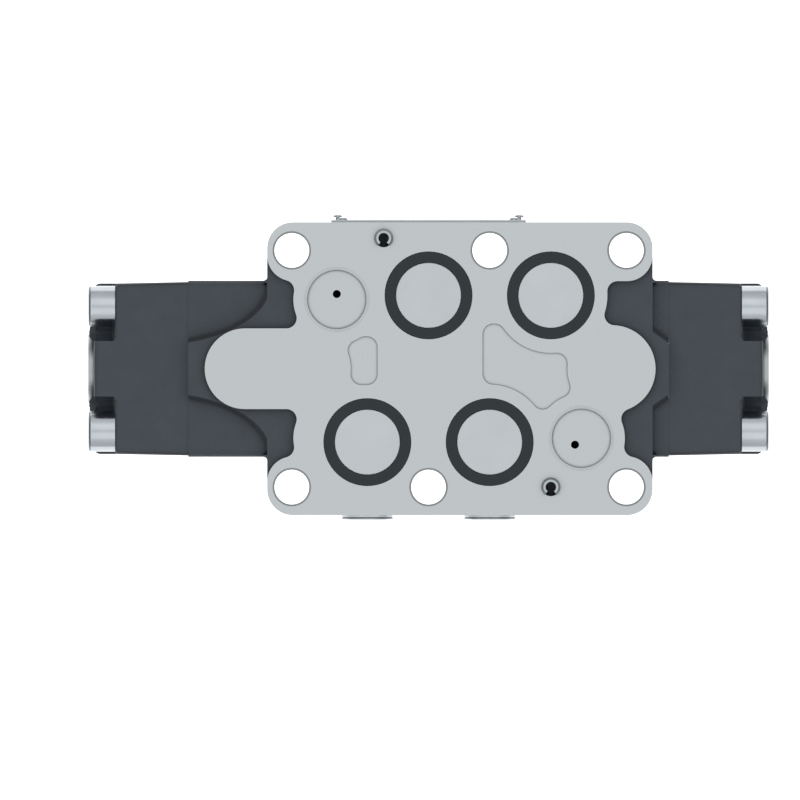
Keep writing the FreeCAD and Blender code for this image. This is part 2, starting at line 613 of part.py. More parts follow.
def face_holes():
    """Everything that opens in the mounting face."""
    tools = [fixed("small_pocket", small_pocket()), fixed("large_pocket", large_pocket())]
    for name, (x, y) in PORTS.items():
        tools.append(cylinder(f"port_{name}", "port_bore", "port_deep", x, y))
        tools.append(cylinder(f"seat_{name}", "seat_wide", "seat_deep", x, y))
    for i, (x, y) in enumerate(SCREW_HOLES):
        tools.append(cylinder(f"screw_hole_{i}", "bolt_hole", "block_high", x, y))
        tools.append(cone(f"screw_mouth_{i}", "bolt_hole + 2 * edge_break", "bolt_hole", "edge_break", x, y))
        tools.append(cylinder(f"screw_seat_{i}", "spot_face", "spot_deep", x, y, "block_high - spot_deep"))
    for i, (x, y, off_x, off_y) in enumerate(CONTROL_PORTS):
        drill_at = (f"{x} + ({off_x})", f"{y} + ({off_y})")
        tools.append(cone(f"control_lip_{i}", "control_mouth", "control_seat", "control_lip", x, y))
        tools.append(cylinder(f"control_seat_{i}", "control_seat", "control_deep", x, y))
        tools.append(cylinder(f"control_drill_{i}", "control_drill", "spool_high", *drill_at))
    for name, (x, y) in PINS.items():
        tools.append(cylinder(f"pin_hole_{name}", "pin_hole", "pin_sunk + pin_bevel", x, y))
    return tools


def side_holes():
    """The tapped holes for the covers and the gauge plugs, and the rivet holes."""
    tools = []
    deep = "screw_bite + tap_extra"
    for side, (sign, out, inward) in SIDES.items():
        for i, (across, up) in enumerate(COVER_SCREWS):
            at = (f"{sign} * boss_long / 2", across, f"spool_high + ({up})")
            tools.append(cylinder(f"cover_tap_{side}_{i}", "screw_wide", deep, *at, inward))
        at = (f"{sign} * pitch", "block_wide / 2", "gauge_high")
        tools.append(cylinder(f"gauge_tap_{side}", "gauge_body", "gauge_long + small_tap_extra", *at, "-y"))
        tools.append(cylinder(f"gauge_drill_{side}", "gauge_drill", "block_wide / 2 - port_row", *at, "-y"))
    for i, (x, z) in enumerate(rivet_places()):
        tools.append(cylinder(f"rivet_hole_{i}", "rivet_stem", "rivet_sunk", x, "-block_wide / 2", z, "y"))
    return tools


def top_holes():
    """The passages and tapped holes under the pilot valve."""
    tools = []
    for name, (x, y) in PILOT_PORTS.items():
        deep = f"pilot_face - ({BRIDGE_TOP}) + bridge_thick / 2" if name == "t" else "port_small_deep"
        tools.append(cylinder(f"pilot_passage_{name}", "port_small", deep, x, y, "pilot_face", "-z"))
    for i, (x, y) in enumerate(PILOT_SCREWS):
        deep = "pilot_screw_bite + small_tap_extra"
        tools.append(cylinder(f"pilot_tap_{i}", "pilot_screw", deep, x, y, "pilot_face", "-z"))
    return tools


def housing():
    tools = spool_passages() + face_holes() + side_holes() + top_holes()
    node("housing", cut("housing", casting(), tools))


def port_pieces():
    """A flat seal ring and a hollow transport plug in each main port."""
    ring = [
        ("seal_inner", "seal_bevel"),
        ("seal_inner + 2 * seal_bevel", "0"),
        ("seal_outer - 2 * seal_bevel", "0"),
        ("seal_outer", "seal_bevel"),
        ("seal_outer", "seat_deep + seal_proud"),
        ("seal_inner", "seat_deep + seal_proud"),
    ]
    body = "port_bore - 2 * slip"
    plug = [
        ("0", "0"),
        ("plug_head - 2 * plug_bevel", "0"),
        ("plug_head", "plug_bevel"),
        ("plug_head", "seat_deep"),
        (body, "seat_deep"),
        (body, "plug_deep"),
        (f"{body} - 2 * plug_wall", "plug_deep"),
        (f"{body} - 2 * plug_wall", "plug_wall"),
        ("0", "plug_wall"),
    ]
    for name, (x, y) in PORTS.items():
        node(f"port_seal_{name}", turned(f"port_seal_{name}", ring, x, y, "-seal_proud"))
        node(f"port_plug_{name}", turned(f"port_plug_{name}", plug, x, y))


def locating_pins():
    """Rolled spring pins: squeezed by their holes, wider where they stand free, slit along one side."""
    long = "pin_proud + pin_sunk"
    profile = [
        ("pin_bore", "0"),
        ("pin_wide - 2 * pin_bevel", "0"),
        ("pin_wide", "pin_bevel"),
        ("pin_wide", "pin_proud - pin_flare"),
        ("pin_hole", "pin_proud"),
        ("pin_hole", f"{long} - pin_bevel"),
        ("pin_hole - 2 * pin_bevel", long),
        ("pin_bore", long),
    ]
    for name, (x, y) in PINS.items():
        tube = turned(f"pin_tube_{name}", profile, x, y, "-pin_proud")
        slit = box(f"pin_slit_{name}", "pin_slit", "pin_wide", long, x, f"{y} + pin_wide / 2", "-pin_proud")
        node(f"locating_pin_{name}", cut(f"locating_pin_{name}", tube, [slit]))


def past_centre(point):
    """How far a point lies from the spool centre along X."""
    return point.x + size["pitch"] / 2


def cover_block():
    """An end cover's block, a little narrower at its outer end."""
    block = doc.addObject("Part::Wedge", "cover_wedge")
    bind(block, {"Ymin": "0", "Ymax": "cover_thick"})
    for axis in "XZ":
        bind(block, {f"{axis}min": "-cover_half", f"{axis}max": "cover_half"})
        bind(block, {f"{axis}2min": "-cover_end_half", f"{axis}2max": "cover_end_half"})
    put(block, "0", "0", "0", "z")
    block.Placement = Placement(Vector(), Rotation(Vector(0, 0, 1), -90))
    reach = size["cover_thick"] - CLOSE
    block = softened("cover_long_edges", block, size["cover_round"], lambda m, b: b.XLength > reach)
    wanted = lambda m, b: past_centre(m) > reach and b.XLength < CLOSE
    return softened("cover_outer_edges", block, size["cover_round"] / 2, wanted)


def cover_webs():
    """Two crossing webs on the outer face of an end cover."""
    long = "web_long + cover_thick / 2"
    wide = "2 * cover_end_half"
    middle = f"cover_thick / 2 + ({long}) / 2"
    thick = "2 * web_half"
    upright = box("upright_web", long, thick, wide, middle, "0", "-cover_end_half")
    level = box("level_web", long, wide, thick, middle, "0", "-web_half")
    end = size["cover_thick"] + size["web_long"] - CLOSE
    rim = size["cover_end_half"] - CLOSE
    tips = lambda m, b: past_centre(m) > end and max(abs(m.y), abs(m.z)) > rim
    return [softened(f"{web.Name}_tips", web, size["web_round"], tips) for web in (upright, level)]


def cover_posts():
    """Four round posts between the webs: a hollow cone with a cross of slots cut through it."""
    ring = [
        ("post_foot", "0"),
        ("core_wide", "0"),
        ("core_wide", "post_long - head_bevel"),
        ("core_wide - 2 * head_bevel", "post_long"),
        ("post_inner", "post_long"),
        ("post_foot", "web_long"),
    ]
    posts = turned("cover_ring", ring, "cover_thick", along="x")
    middle = "cover_thick + (web_long + post_long) / 2"
    long = "post_long - web_long"
    gap = "2 * web_half"
    reach = "2 * core_wide"
    level = box("post_gap_level", long, reach, gap, middle, "0", "-web_half")
    upright = box("post_gap_upright", long, gap, reach, middle, "0", "-core_wide")
    return cut("cover_posts", posts, [level, upright])


def cover():
    """An end cover that points along X from its joint at the spool centre."""
    core = cylinder("cover_core", "core_wide", "web_long", "cover_thick", along="x")
    end_disc = cylinder("cover_disc", "disc_wide", "disc_long", "cover_thick", along="x")
    form = fuse("cover_form", [cover_block(), *cover_webs(), core, end_disc, cover_posts()])
    rim = size["cover_end_half"] - size["cover_round"]

    def root(m, b):
        """Whether an edge lies where the webs rise from the block."""
        level = abs(past_centre(m) - size["cover_thick"]) < CLOSE and b.XLength < CLOSE
        return level and max(abs(m.y), abs(m.z)) < rim

    form = softened("cover_roots", form, size["root_round"], root)
    groove_outer = cylinder("groove_outer", "cover_ring + ring_groove", "ring_thick", along="x")
    groove_inner = cylinder("groove_inner", "cover_ring - ring_groove", "ring_thick", along="x")
    tools = [
        cylinder("spring_chamber", "chamber_wide", "chamber_deep", along="x"),
        cut("ring_groove", groove_outer, [groove_inner]),
    ]
    for i, at in enumerate(COVER_SCREWS):
        tools.append(cylinder(f"cover_hole_{i}", "screw_wide + screw_play", "cover_thick", "0", *at, "x"))
    return cut("cover", form, tools)


def end_covers():
    """A cast cover on each end of the boss, with webs, posts and a machined disc, and its seal."""
    inner = "cover_ring - ring_wide"
    outer = "cover_ring + ring_wide"
    ring = [
        (inner, "ring_bevel"),
        (f"{inner} + 2 * ring_bevel", "0"),
        (f"{outer} - 2 * ring_bevel", "0"),
        (outer, "ring_bevel"),
        (outer, "ring_thick - ring_bevel"),
        (f"{outer} - 2 * ring_bevel", "ring_thick"),
        (f"{inner} + 2 * ring_bevel", "ring_thick"),
        (inner, "ring_thick - ring_bevel"),
    ]
    model = cover()
    for side, (sign, out, inward) in SIDES.items():
        placed = together(f"end_cover_{side}", [model])
        placed.Placement = Placement(Vector(), Rotation(Vector(0, 0, 1), 90 - 90 * int(sign)))
        along = f"{sign} * boss_long / 2 + ({sign} - 1) * pitch / 2"
        bind(placed, {"Placement.Base.x": along, "Placement.Base.z": "spool_high"})
        node(f"end_cover_{side}", placed)
        joint = (f"{sign} * boss_long / 2", "0", "spool_high", out)
        node(f"cover_seal_{side}", turned(f"cover_seal_{side}", ring, *joint))


def socket_screw(name, body, head, head_high, bevel, reach, key, at, along):
    """A socket head screw whose tip lies at a place and whose head starts its reach further on."""
    profile = [
        ("0", "0"),
        (f"{body} - 2 * {bevel}", "0"),
        (body, bevel),
        (body, reach),
        (head, reach),
        (head, f"{reach} + {head_high} - {bevel}"),
        (f"{head} - 2 * {bevel}", f"{reach} + {head_high}"),
        ("0", f"{reach} + {head_high}"),
    ]
    blank = turned(f"{name}_blank", profile, *at, along)
    x, y, z = at
    socket = f"{reach} + {head_high} / 2"
    if along == "z":
        z = f"{z} + {socket}"
    else:
        x = f"{x} + {'-' if along == '-x' else ''}({socket})"
    return cut(name, blank, [hexagon(f"{name}_key", key, head_high, x, y, z, along)])


def cover_screws():
    """Four socket head screws in each end cover."""
    off = size["screw_off"]
    places = [Vector(0, y, z) for y in (-off, off) for z in (-off, off)]
    for side, (sign, out, inward) in SIDES.items():
        tip = (f"{sign} * (boss_long / 2 - screw_bite)", "0", "spool_high")
        screw = socket_screw(
            f"cover_screw_{side}",
            "screw_wide - 2 * thread_gap",
            "screw_head",
            "screw_head_high",
            "head_bevel",
            "cover_thick + screw_bite",
            "screw_hex",
            tip,
            out,
        )
        group(f"cover_screws_{side}", screw, places)


def both_ways(middle, steps):
    """Profile corners for steps of (distance, width before, width after), both ways from a middle."""
    left = []
    right = []
    for along, before, after in steps:
        left = [(after, f"{middle} - ({along})"), (before, f"{middle} - ({along})")] + left
        right += [(before, f"{middle} + {along}"), (after, f"{middle} + {along}")]
    return left + right


def main_spool():
    """The main spool: a land over each work gallery and one at each end, with necks between."""
    land = "spool_wide - 2 * spool_gap"
    steps = [
        ("pitch - gallery_wide / 2 - overlap", "neck_wide", land),
        ("pitch + gallery_wide / 2 + overlap", land, "neck_wide"),
        ("2 * pitch + gallery_wide / 2 + overlap", "neck_wide", land),
    ]
    start = [("0", "0"), (f"{land} - 2 * turned_bevel", "0"), (land, "turned_bevel")]
    end = [
        (land, "2 * spool_end - turned_bevel"),
        (f"{land} - 2 * turned_bevel", "2 * spool_end"),
        ("0", "2 * spool_end"),
    ]
    profile = start + both_ways("spool_end", steps) + end
    node("main_spool", turned("main_spool", profile, "-spool_end", "0", "spool_high", "x"))


def spring_plates():
    """A spring plate on each end of the main spool, with the centring spring behind it."""
    profile = [
        ("0", "0"),
        ("plate_wide", "0"),
        ("plate_wide", "plate_thick"),
        ("hub_wide", "plate_thick"),
        ("hub_wide", "plate_thick + hub_long - turned_bevel"),
        ("hub_wide - 2 * turned_bevel", "plate_thick + hub_long"),
        ("0", "plate_thick + hub_long"),
    ]
    start = size["spool_end"] + size["plate_thick"]
    end = size["boss_long"] / 2 + size["chamber_deep"]
    for side, (sign, out, inward) in SIDES.items():
        name = f"spring_plate_{side}"
        node(name, turned(name, profile, f"{sign} * spool_end", "0", "spool_high", out))
        coil = spring(size["spring_mean"], size["spring_wire"], size["spring_turns"], end - start)
        outward(f"centring_spring_{side}", coil, start, size["spool_high"], side)


def spring(mean, wire, turns, long):
    """A spring with ground ends: a six sided wire swept along a helix and cut flat at both ends."""
    helix = Part.makeHelix(long / turns, long, mean / 2)
    corners = []
    for i in range(7):
        angle = math.radians(60 * i)
        corners.append(Vector(mean / 2 + wire / 2 * math.cos(angle), 0, wire / 2 * math.sin(angle)))
    coil = Part.Wire(helix).makePipeShell([Part.makePolygon(corners)], True, True)
    return coil.common(Part.makeCylinder(mean, long))


def outward(name, shape, start, high, side):
    """Keep a shape whose own Z runs outwards along X from a distance to the spool centre."""
    obj = doc.addObject("Part::Feature", name)
    obj.Shape = shape
    sign, out, inward = SIDES[side]
    obj.Placement = Placement(Vector(int(sign) * start - size["pitch"] / 2, 0, high), TURNS[out])
    node(name, obj)


def gauge_plugs():
    """Screw plugs with washers over the gauge drillings."""
    body = "gauge_body - 2 * thread_gap"
    seat = "gauge_long + washer_thick"
    top = f"{seat} + gauge_head_high"
    profile = [
        ("0", "0"),
        (f"{body} - 2 * head_bevel", "0"),
        (body, "head_bevel"),
        (body, seat),
        ("gauge_head", seat),
        ("gauge_head", f"{top} - gauge_bevel"),
        ("gauge_head - 2 * gauge_bevel", top),
        ("0", top),
    ]
    hole = "gauge_body + 2 * slip"
    wide = "gauge_head - 2 * slip"
    washer = [(hole, "0"), (wide, "0"), (wide, "washer_thick"), (hole, "washer_thick")]
    for side, (sign, out, inward) in SIDES.items():
        x = f"{sign} * pitch"
        blank = turned(f"gauge_blank_{side}", profile, x, "block_wide / 2 - gauge_long", "gauge_high", "y")
        key_at = (x, "block_wide / 2 - gauge_long / 2", "gauge_high", "y")
        key = hexagon(f"gauge_key_{side}", "gauge_hex", "gauge_long", *key_at)
        node(f"gauge_plug_{side}", cut(f"gauge_plug_{side}", blank, [key]))
        name = f"gauge_washer_{side}"
        node(name, turned(name, washer, x, "block_wide / 2", "gauge_high", "y"))


def nameplate():
    """A bare plate on the front side, held by four drive rivets, the upper two less deep."""
    middle = ("0", "-(block_wide + label_thick) / 2", "label_low")
    blank = box("plate_blank", "label_long", "label_thick", "label_high", *middle)
    side = "-block_wide / 2"
    heads = ("rivet_short", "rivet_short", "rivet_tall", "rivet_tall")
    seat = "rivet_sunk - rivet_gap + label_thick"
    stem = "rivet_stem - 2 * thread_gap"
    holes = []
    rivets = []
    for i, ((x, z), head) in enumerate(zip(rivet_places(), heads)):
        holes.append(cylinder(f"plate_hole_{i}", "rivet_stem", "label_thick", x, side, z, "-y"))
        profile = [
            ("0", "0"),
            (stem, "0"),
            (stem, seat),
            ("rivet_wide", seat),
            ("rivet_wide", f"{seat} + {head} / 2"),
            ("rivet_crown", f"{seat} + {head}"),
            ("0", f"{seat} + {head}"),
        ]
        rivets.append(turned(f"rivet_{i}", profile, x, f"{side} + rivet_sunk - rivet_gap", z, "-y"))
    node("nameplate", cut("nameplate", blank, holes))
    node("nameplate_rivets", together("rivets", rivets))


def pilot_body():
    """The pilot valve's body with its bore, galleries, end chambers, ports and screw holes."""
    block = box("pilot_block", "2 * pilot_half", "pilot_wide", "pilot_high", "0", "0", "pilot_face")
    top = size["pilot_face"] + size["pilot_high"] - CLOSE
    upright = size["pilot_high"] - CLOSE
    wanted = lambda m, b: b.ZMin > top or b.ZLength > upright
    block = softened("pilot_edges", block, size["pilot_round"], wanted)
    tools = [cylinder("pilot_bore", "pilot_bore", "2 * pilot_half", "-pilot_half", "0", UPPER_AXIS, "x")]
    for i, step in enumerate((-1, 0, 1)):
        at = (f"{step} * pilot_pitch - pilot_groove / 2", "0", UPPER_AXIS)
        tools.append(cylinder(f"pilot_gallery_{i}", "pilot_gallery", "pilot_groove", *at, "x"))
    for side, (sign, out, inward) in SIDES.items():
        steps = {
            "end_chamber": ("end_chamber", "stem_shoulder - pilot_stroke - chamber_play"),
            "nose_tap": ("nose_wide", "pilot_half - nose_long"),
            "tube_ring_seat": ("nose_wide + 2 * (tube_ring_wide + slip)", "pilot_half - tube_ring_thick"),
        }
        for name, (wide, start) in steps.items():
            at = (f"{sign} * ({start})", "0", UPPER_AXIS)
            tools.append(cylinder(f"{name}_{side}", wide, f"pilot_half - ({start})", *at, out))
    for name, (x, y) in PILOT_PORTS.items():
        deep = "pilot_axis" if name == "p" else "pilot_axis - pilot_bore / 2 - pilot_lap"
        at = (x, y, "pilot_face")
        tools.append(cylinder(f"pilot_port_{name}", "port_small", deep, *at))
        tools.append(cylinder(f"pilot_seat_{name}", "small_ring + 2 * slip", "small_ring_thick", *at))
    floor = "pilot_face + pilot_high - pilot_screw_seat"
    hole = "pilot_screw + screw_play / 2"
    seat = "pilot_screw_head + screw_play"
    for i, (x, y) in enumerate(PILOT_SCREWS):
        tools.append(cylinder(f"pilot_hole_{i}", hole, "pilot_high", x, y, "pilot_face"))
        tools.append(cylinder(f"pilot_head_seat_{i}", seat, "pilot_screw_seat", x, y, floor))
    node("pilot_body", cut("pilot_body", block, tools))


def pilot_fixings():
    """The four screws of the pilot valve, and the seals under its ports."""
    screw = socket_screw(
        "pilot_screw_model",
        "pilot_screw - 2 * thread_gap",
        "pilot_screw_head",
        "pilot_screw_head_high",
        "turned_bevel",
        "(pilot_screw_bite + pilot_high - pilot_screw_seat)",
        "pilot_screw_hex",
        ("0", "0", "pilot_face - pilot_screw_bite"),
        "z",
    )
    along = size["pilot_screw_along"] / 2
    across = size["pilot_screw_across"] / 2
    group("pilot_screws", screw, [Vector(x, y, 0) for x in (-along, along) for y in (-across, across)])
    profile = [
        ("small_ring_inner", "0"),
        ("small_ring", "0"),
        ("small_ring", "small_ring_thick"),
        ("small_ring_inner", "small_ring_thick"),
    ]
    rings = [turned(f"pilot_ring_{n}", profile, x, y, "pilot_face") for n, (x, y) in PILOT_PORTS.items()]
    node("pilot_seals", together("small_rings", rings))


def pilot_spool():
    """The pilot spool with its spring seats and springs."""
    land = "pilot_bore - 2 * spool_gap"
    steps = [
        ("pilot_pitch - pilot_groove / 2 - pilot_lap", "pilot_neck", land),
        ("pilot_pitch + pilot_groove / 2 + pilot_lap", land, "pilot_stem"),
        ("stem_shoulder", "pilot_stem", "tip_wide"),
    ]
    start = [("0", "0"), ("tip_wide", "0")]
    end = [("tip_wide", "2 * pilot_end"), ("0", "2 * pilot_end")]
    profile = start + both_ways("pilot_end", steps) + end
    node("pilot_spool", turned("pilot_spool", profile, "-pilot_end", "0", UPPER_AXIS, "x"))
    seat = [
        ("seat_hole", "0"),
        ("spring_seat", "0"),
        ("spring_seat", "spring_seat_thick"),
        ("seat_hole", "spring_seat_thick"),
    ]
    start = size["stem_shoulder"] + size["spring_seat_thick"]
    long = size["pilot_half"] - size["nose_long"] - start
    wire = size["pilot_spring_wire"]
    high = size["pilot_face"] + size["pilot_axis"]
    for side, (sign, out, inward) in SIDES.items():
        name = f"pilot_spring_seat_{side}"
        node(name, turned(name, seat, f"{sign} * stem_shoulder", "0", UPPER_AXIS, out))
        coil = spring(size["pilot_spring_mean"], wire, size["pilot_spring_turns"], long)
        outward(f"pilot_spring_{side}", coil, start, high, side)


def armature_tube(side):
    """A pressure tube screwed into the pilot body, hollow for the armature, with its seal."""
    sign, out, inward = SIDES[side]

    def bar(name, wide, start, end, make=cylinder):
        at = (f"{sign} * ({start})", "0", UPPER_AXIS)
        return make(f"{name}_{side}", wide, f"{end} - ({start})", *at, out)

    nose = "pilot_half - nose_long"
    form = fuse(
        f"tube_form_{side}",
        [
            bar("tube_nose", "nose_wide - 2 * thread_gap", nose, "pilot_half"),
            bar("tube_collar", "collar_wide", "pilot_half", "pilot_half + collar_thick", hexagon),
            bar("tube_barrel", "tube_wide", "pilot_half", "tube_end"),
        ],
    )
    bores = [
        bar("rod_bore", "rod_wide + 2 * rod_gap", nose, "pole_end"),
        bar("armature_bore", "armature_wide", "pole_end", "chamber_end"),
        bar("button_bore", "button_wide + 2 * button_gap", "chamber_end", "tube_end"),
    ]
    node(f"armature_tube_{side}", cut(f"armature_tube_{side}", form, bores))
    outer = "nose_wide + 2 * tube_ring_wide"
    ring = [("nose_wide", "0"), (outer, "0"), (outer, "tube_ring_thick"), ("nose_wide", "tube_ring_thick")]
    at = (f"{sign} * (pilot_half - tube_ring_thick)", "0", UPPER_AXIS)
    node(f"tube_seal_{side}", turned(f"tube_seal_{side}", ring, *at, out))


def armature_pieces(side):
    """The armature, the rod that pushes the spool and the pin that moves the armature by hand."""
    sign, out, inward = SIDES[side]
    wide = "armature_wide - 2 * slip"
    armature = [
        ("0", "0"),
        (f"{wide} - 2 * turned_bevel", "0"),
        (wide, "turned_bevel"),
        (wide, "armature_long - turned_bevel"),
        (f"{wide} - 2 * turned_bevel", "armature_long"),
        ("0", "armature_long"),
    ]
    button = [
        ("0", "0"),
        ("button_wide", "0"),
        ("button_wide", "button_long - turned_bevel"),
        ("button_wide - 2 * turned_bevel", "button_long"),
        ("0", "button_long"),
    ]
    rod_at = (f"{sign} * pilot_end", "0", UPPER_AXIS, out)
    armature_at = (f"{sign} * armature_start", "0", UPPER_AXIS, out)
    button_at = (f"{sign} * chamber_end", "0", UPPER_AXIS, out)
    rod = cylinder(f"push_rod_{side}", "rod_wide", "armature_start - pilot_end", *rod_at)
    node(f"push_rod_{side}", rod)
    node(f"armature_{side}", turned(f"armature_{side}", armature, *armature_at))
    node(f"override_pin_{side}", turned(f"override_pin_{side}", button, *button_at))


def coil(side):
    """The moulded coil with a plug socket on top, and its terminal blades."""
    sign, out, inward = SIDES[side]
    middle = f"{sign} * (coil_start + coil_long / 2)"
    low = f"{UPPER_AXIS} - coil_high / 2"
    block = box(f"coil_block_{side}", "coil_long", "coil_wide", "coil_high", middle, "0", low)
    socket_top = "coil_high / 2 + socket_high"
    socket = box(f"coil_socket_{side}", "socket_wide", "socket_wide", socket_top, middle, "0", UPPER_AXIS)
    reach = size["coil_long"] - CLOSE
    rim = size["soft_edge"]
    block = softened(f"coil_long_edges_{side}", block, size["coil_round"], lambda m, b: b.XLength > reach)
    block = softened(f"coil_end_edges_{side}", block, rim, lambda m, b: b.XLength < CLOSE)
    socket = softened(f"socket_edges_{side}", socket, size["socket_round"], lambda m, b: b.ZLength > rim)
    bore_at = (f"{sign} * coil_start", "0", UPPER_AXIS)
    tools = [cylinder(f"coil_bore_{side}", "tube_wide + 2 * slip", "coil_long", *bore_at, out)]
    floor = f"{UPPER_AXIS} + {socket_top} - blade_sunk"
    blades = []
    for i, (off_x, off_y) in enumerate((("-blade_off", "0"), ("blade_off", "0"), ("0", "blade_off"))):
        long, wide = ("blade_thick", "blade_wide") if off_y == "0" else ("blade_wide", "blade_thick")
        at = (f"{middle} + ({off_x})", off_y, floor)
        tools.append(box(f"blade_slot_{side}_{i}", long, wide, "blade_sunk", *at))
        blades.append(box(f"blade_{side}_{i}", long, wide, "blade_high + blade_sunk", *at))
    node(f"coil_{side}", cut(f"coil_{side}", fuse(f"coil_form_{side}", [block, socket]), tools))
    node(f"terminals_{side}", together(f"blades_{side}", blades))


def coil_nut(side):
    """The fluted nut that holds the coil, and the seal between them."""
    sign, out, inward = SIDES[side]
    start = "coil_start + coil_long + coil_ring_thick"
    bore = "tube_wide + 2 * thread_gap"
    tip = f"tube_end - ({start})"
    profile = [
        (bore, "0"),
        ("nut_wide", "0"),
        ("nut_wide", "nut_long - nut_bevel"),
        ("nut_wide - 2 * nut_bevel", "nut_long"),
        ("nut_mouth", "nut_long"),
        ("nut_mouth", tip),
        (bore, tip),
    ]
    x = f"{sign} * ({start})"
    blank = turned(f"nut_blank_{side}", profile, x, "0", UPPER_AXIS, out)
    flutes = []
    for i in range(round(size["nut_flutes"])):
        angle = f"{i} * 360deg / nut_flutes"
        y = f"nut_wide / 2 * cos({angle})"
        z = f"{UPPER_AXIS} + nut_wide / 2 * sin({angle})"
        flutes.append(cylinder(f"nut_flute_{side}_{i}", "flute_wide", "nut_long", x, y, z, out))
    node(f"coil_nut_{side}", cut(f"coil_nut_{side}", blank, flutes))
    inner = "tube_wide + 2 * slip"
    outer = f"{inner} + 2 * coil_ring_wide"
    ring = [(inner, "0"), (outer, "0"), (outer, "coil_ring_thick"), (inner, "coil_ring_thick")]
    at = (f"{sign} * (coil_start + coil_long)", "0", UPPER_AXIS)
    node(f"coil_seal_{side}", turned(f"coil_seal_{side}", ring, *at, out))


def check():
    """Stop when any object failed or any sub-part isn't a sound solid."""
    for obj in doc.Objects:
        if "Invalid" in obj.State or "Error" in obj.State:
            raise RuntimeError(f"{obj.Label} failed: {obj.State}")
    for label, obj in nodes.items():
        shape = obj.Shape
        if shape.isNull() or not shape.isValid() or not shape.Solids:
            raise RuntimeError(f"{label} isn't a sound solid")


housing()
port_pieces()
locating_pins()
end_covers()
cover_screws()
main_spool()
spring_plates()
gauge_plugs()
nameplate()
pilot_body()
pilot_fixings()
pilot_spool()
for side in SIDES:
    armature_tube(side)
    armature_pieces(side)
    coil(side)
    coil_nut(side)
doc.recompute()
check()
os.makedirs("parts", exist_ok=True)
for label, obj in nodes.items():
    obj.Shape.exportStep(f"parts/{label}.step")
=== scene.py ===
"""The looks of a pilot operated directional valve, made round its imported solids.

Run as a script it dresses the valve and sets the stage. It is laid out as an add-on, so that each
group of pieces is an operator with its sizes and colours beside it in the 3D view's sidebar."""

import json
import math

import bmesh
import bpy
from bpy.props import FloatProperty, FloatVectorProperty, IntProperty, PointerProperty
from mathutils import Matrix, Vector


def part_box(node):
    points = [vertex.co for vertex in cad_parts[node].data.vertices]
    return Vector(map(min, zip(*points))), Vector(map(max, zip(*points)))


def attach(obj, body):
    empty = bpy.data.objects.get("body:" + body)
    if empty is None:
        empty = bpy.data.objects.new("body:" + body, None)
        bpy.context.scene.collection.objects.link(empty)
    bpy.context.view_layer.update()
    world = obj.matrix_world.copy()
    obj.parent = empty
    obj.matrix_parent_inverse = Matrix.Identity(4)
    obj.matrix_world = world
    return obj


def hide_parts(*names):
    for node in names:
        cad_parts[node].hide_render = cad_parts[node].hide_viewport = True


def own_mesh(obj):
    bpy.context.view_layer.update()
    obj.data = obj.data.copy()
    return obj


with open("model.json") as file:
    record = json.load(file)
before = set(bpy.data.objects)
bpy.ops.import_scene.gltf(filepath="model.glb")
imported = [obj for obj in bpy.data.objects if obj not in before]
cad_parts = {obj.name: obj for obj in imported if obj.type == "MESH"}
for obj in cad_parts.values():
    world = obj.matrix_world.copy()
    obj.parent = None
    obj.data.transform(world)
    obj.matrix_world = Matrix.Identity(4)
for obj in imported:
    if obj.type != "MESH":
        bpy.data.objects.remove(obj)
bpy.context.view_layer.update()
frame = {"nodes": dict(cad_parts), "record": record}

bl_info = {
    "name": "Directional valve looks",
    "version": (1, 0, 0),
    "blender": (4, 5, 0),
    "location": "3D view > Sidebar > Valve",
    "description": "Detailed pieces, finishes and stage for a pilot operated directional valve",
    "category": "Object",
}

MM = 0.001
# Middle and width of the picture, and how far the camera and the board are from the valve
VIEW_X, VIEW_Y, VIEW_WIDE, AWAY = -0.0230, 0.01216, 0.3113, 1.0
# Strength of each soft lamp, and light from the sides as paint and as metal get it
LAMP_POWER, WALLS, METAL_WALLS = 0.14, 0.36, 0.8
SIDES = {"left": -1, "right": 1}
PORTS = "ptab"
CORNERS = ((-1, -1), (-1, 1), (1, -1), (1, 1))
# Places closer than this are level, and corners closer than the next are one
TOUCH = 0.01 * MM
DOUBLES = 0.001 * MM
# Room round a piece, and how deep one that is joined to another reaches into it
PLAY = 0.1 * MM
SUNK = 1 * MM
# Thickness of the skin that counts as a milled face
SKIN = 0.05 * MM
# Edges that turn further than this are sharp
SHARP = math.radians(40)
# A socket screw's bevels as a share of its radii, and its key hole as a share of its head's height
SCREW_BEVEL = 0.15
KEY_DEPTH = 0.5


def linear(code):
    """The linear colour of an sRGB hex value."""
    parts = [int(code[i : i + 2], 16) / 255 for i in (0, 2, 4)]
    return [p / 12.92 if p <= 0.04045 else ((p + 0.055) / 1.055) ** 2.4 for p in parts] + [1.0]


def colour(name, description, code):
    """A colour property from its sRGB hex value."""
    return FloatVectorProperty(
        name=name, description=description, subtype="COLOR", size=4, min=0, max=1, default=linear(code)
    )


def mm(name, description, default):
    """A length property from its value in millimetres."""
    return FloatProperty(name=name, description=description, default=default * MM, unit="LENGTH", precision=5)


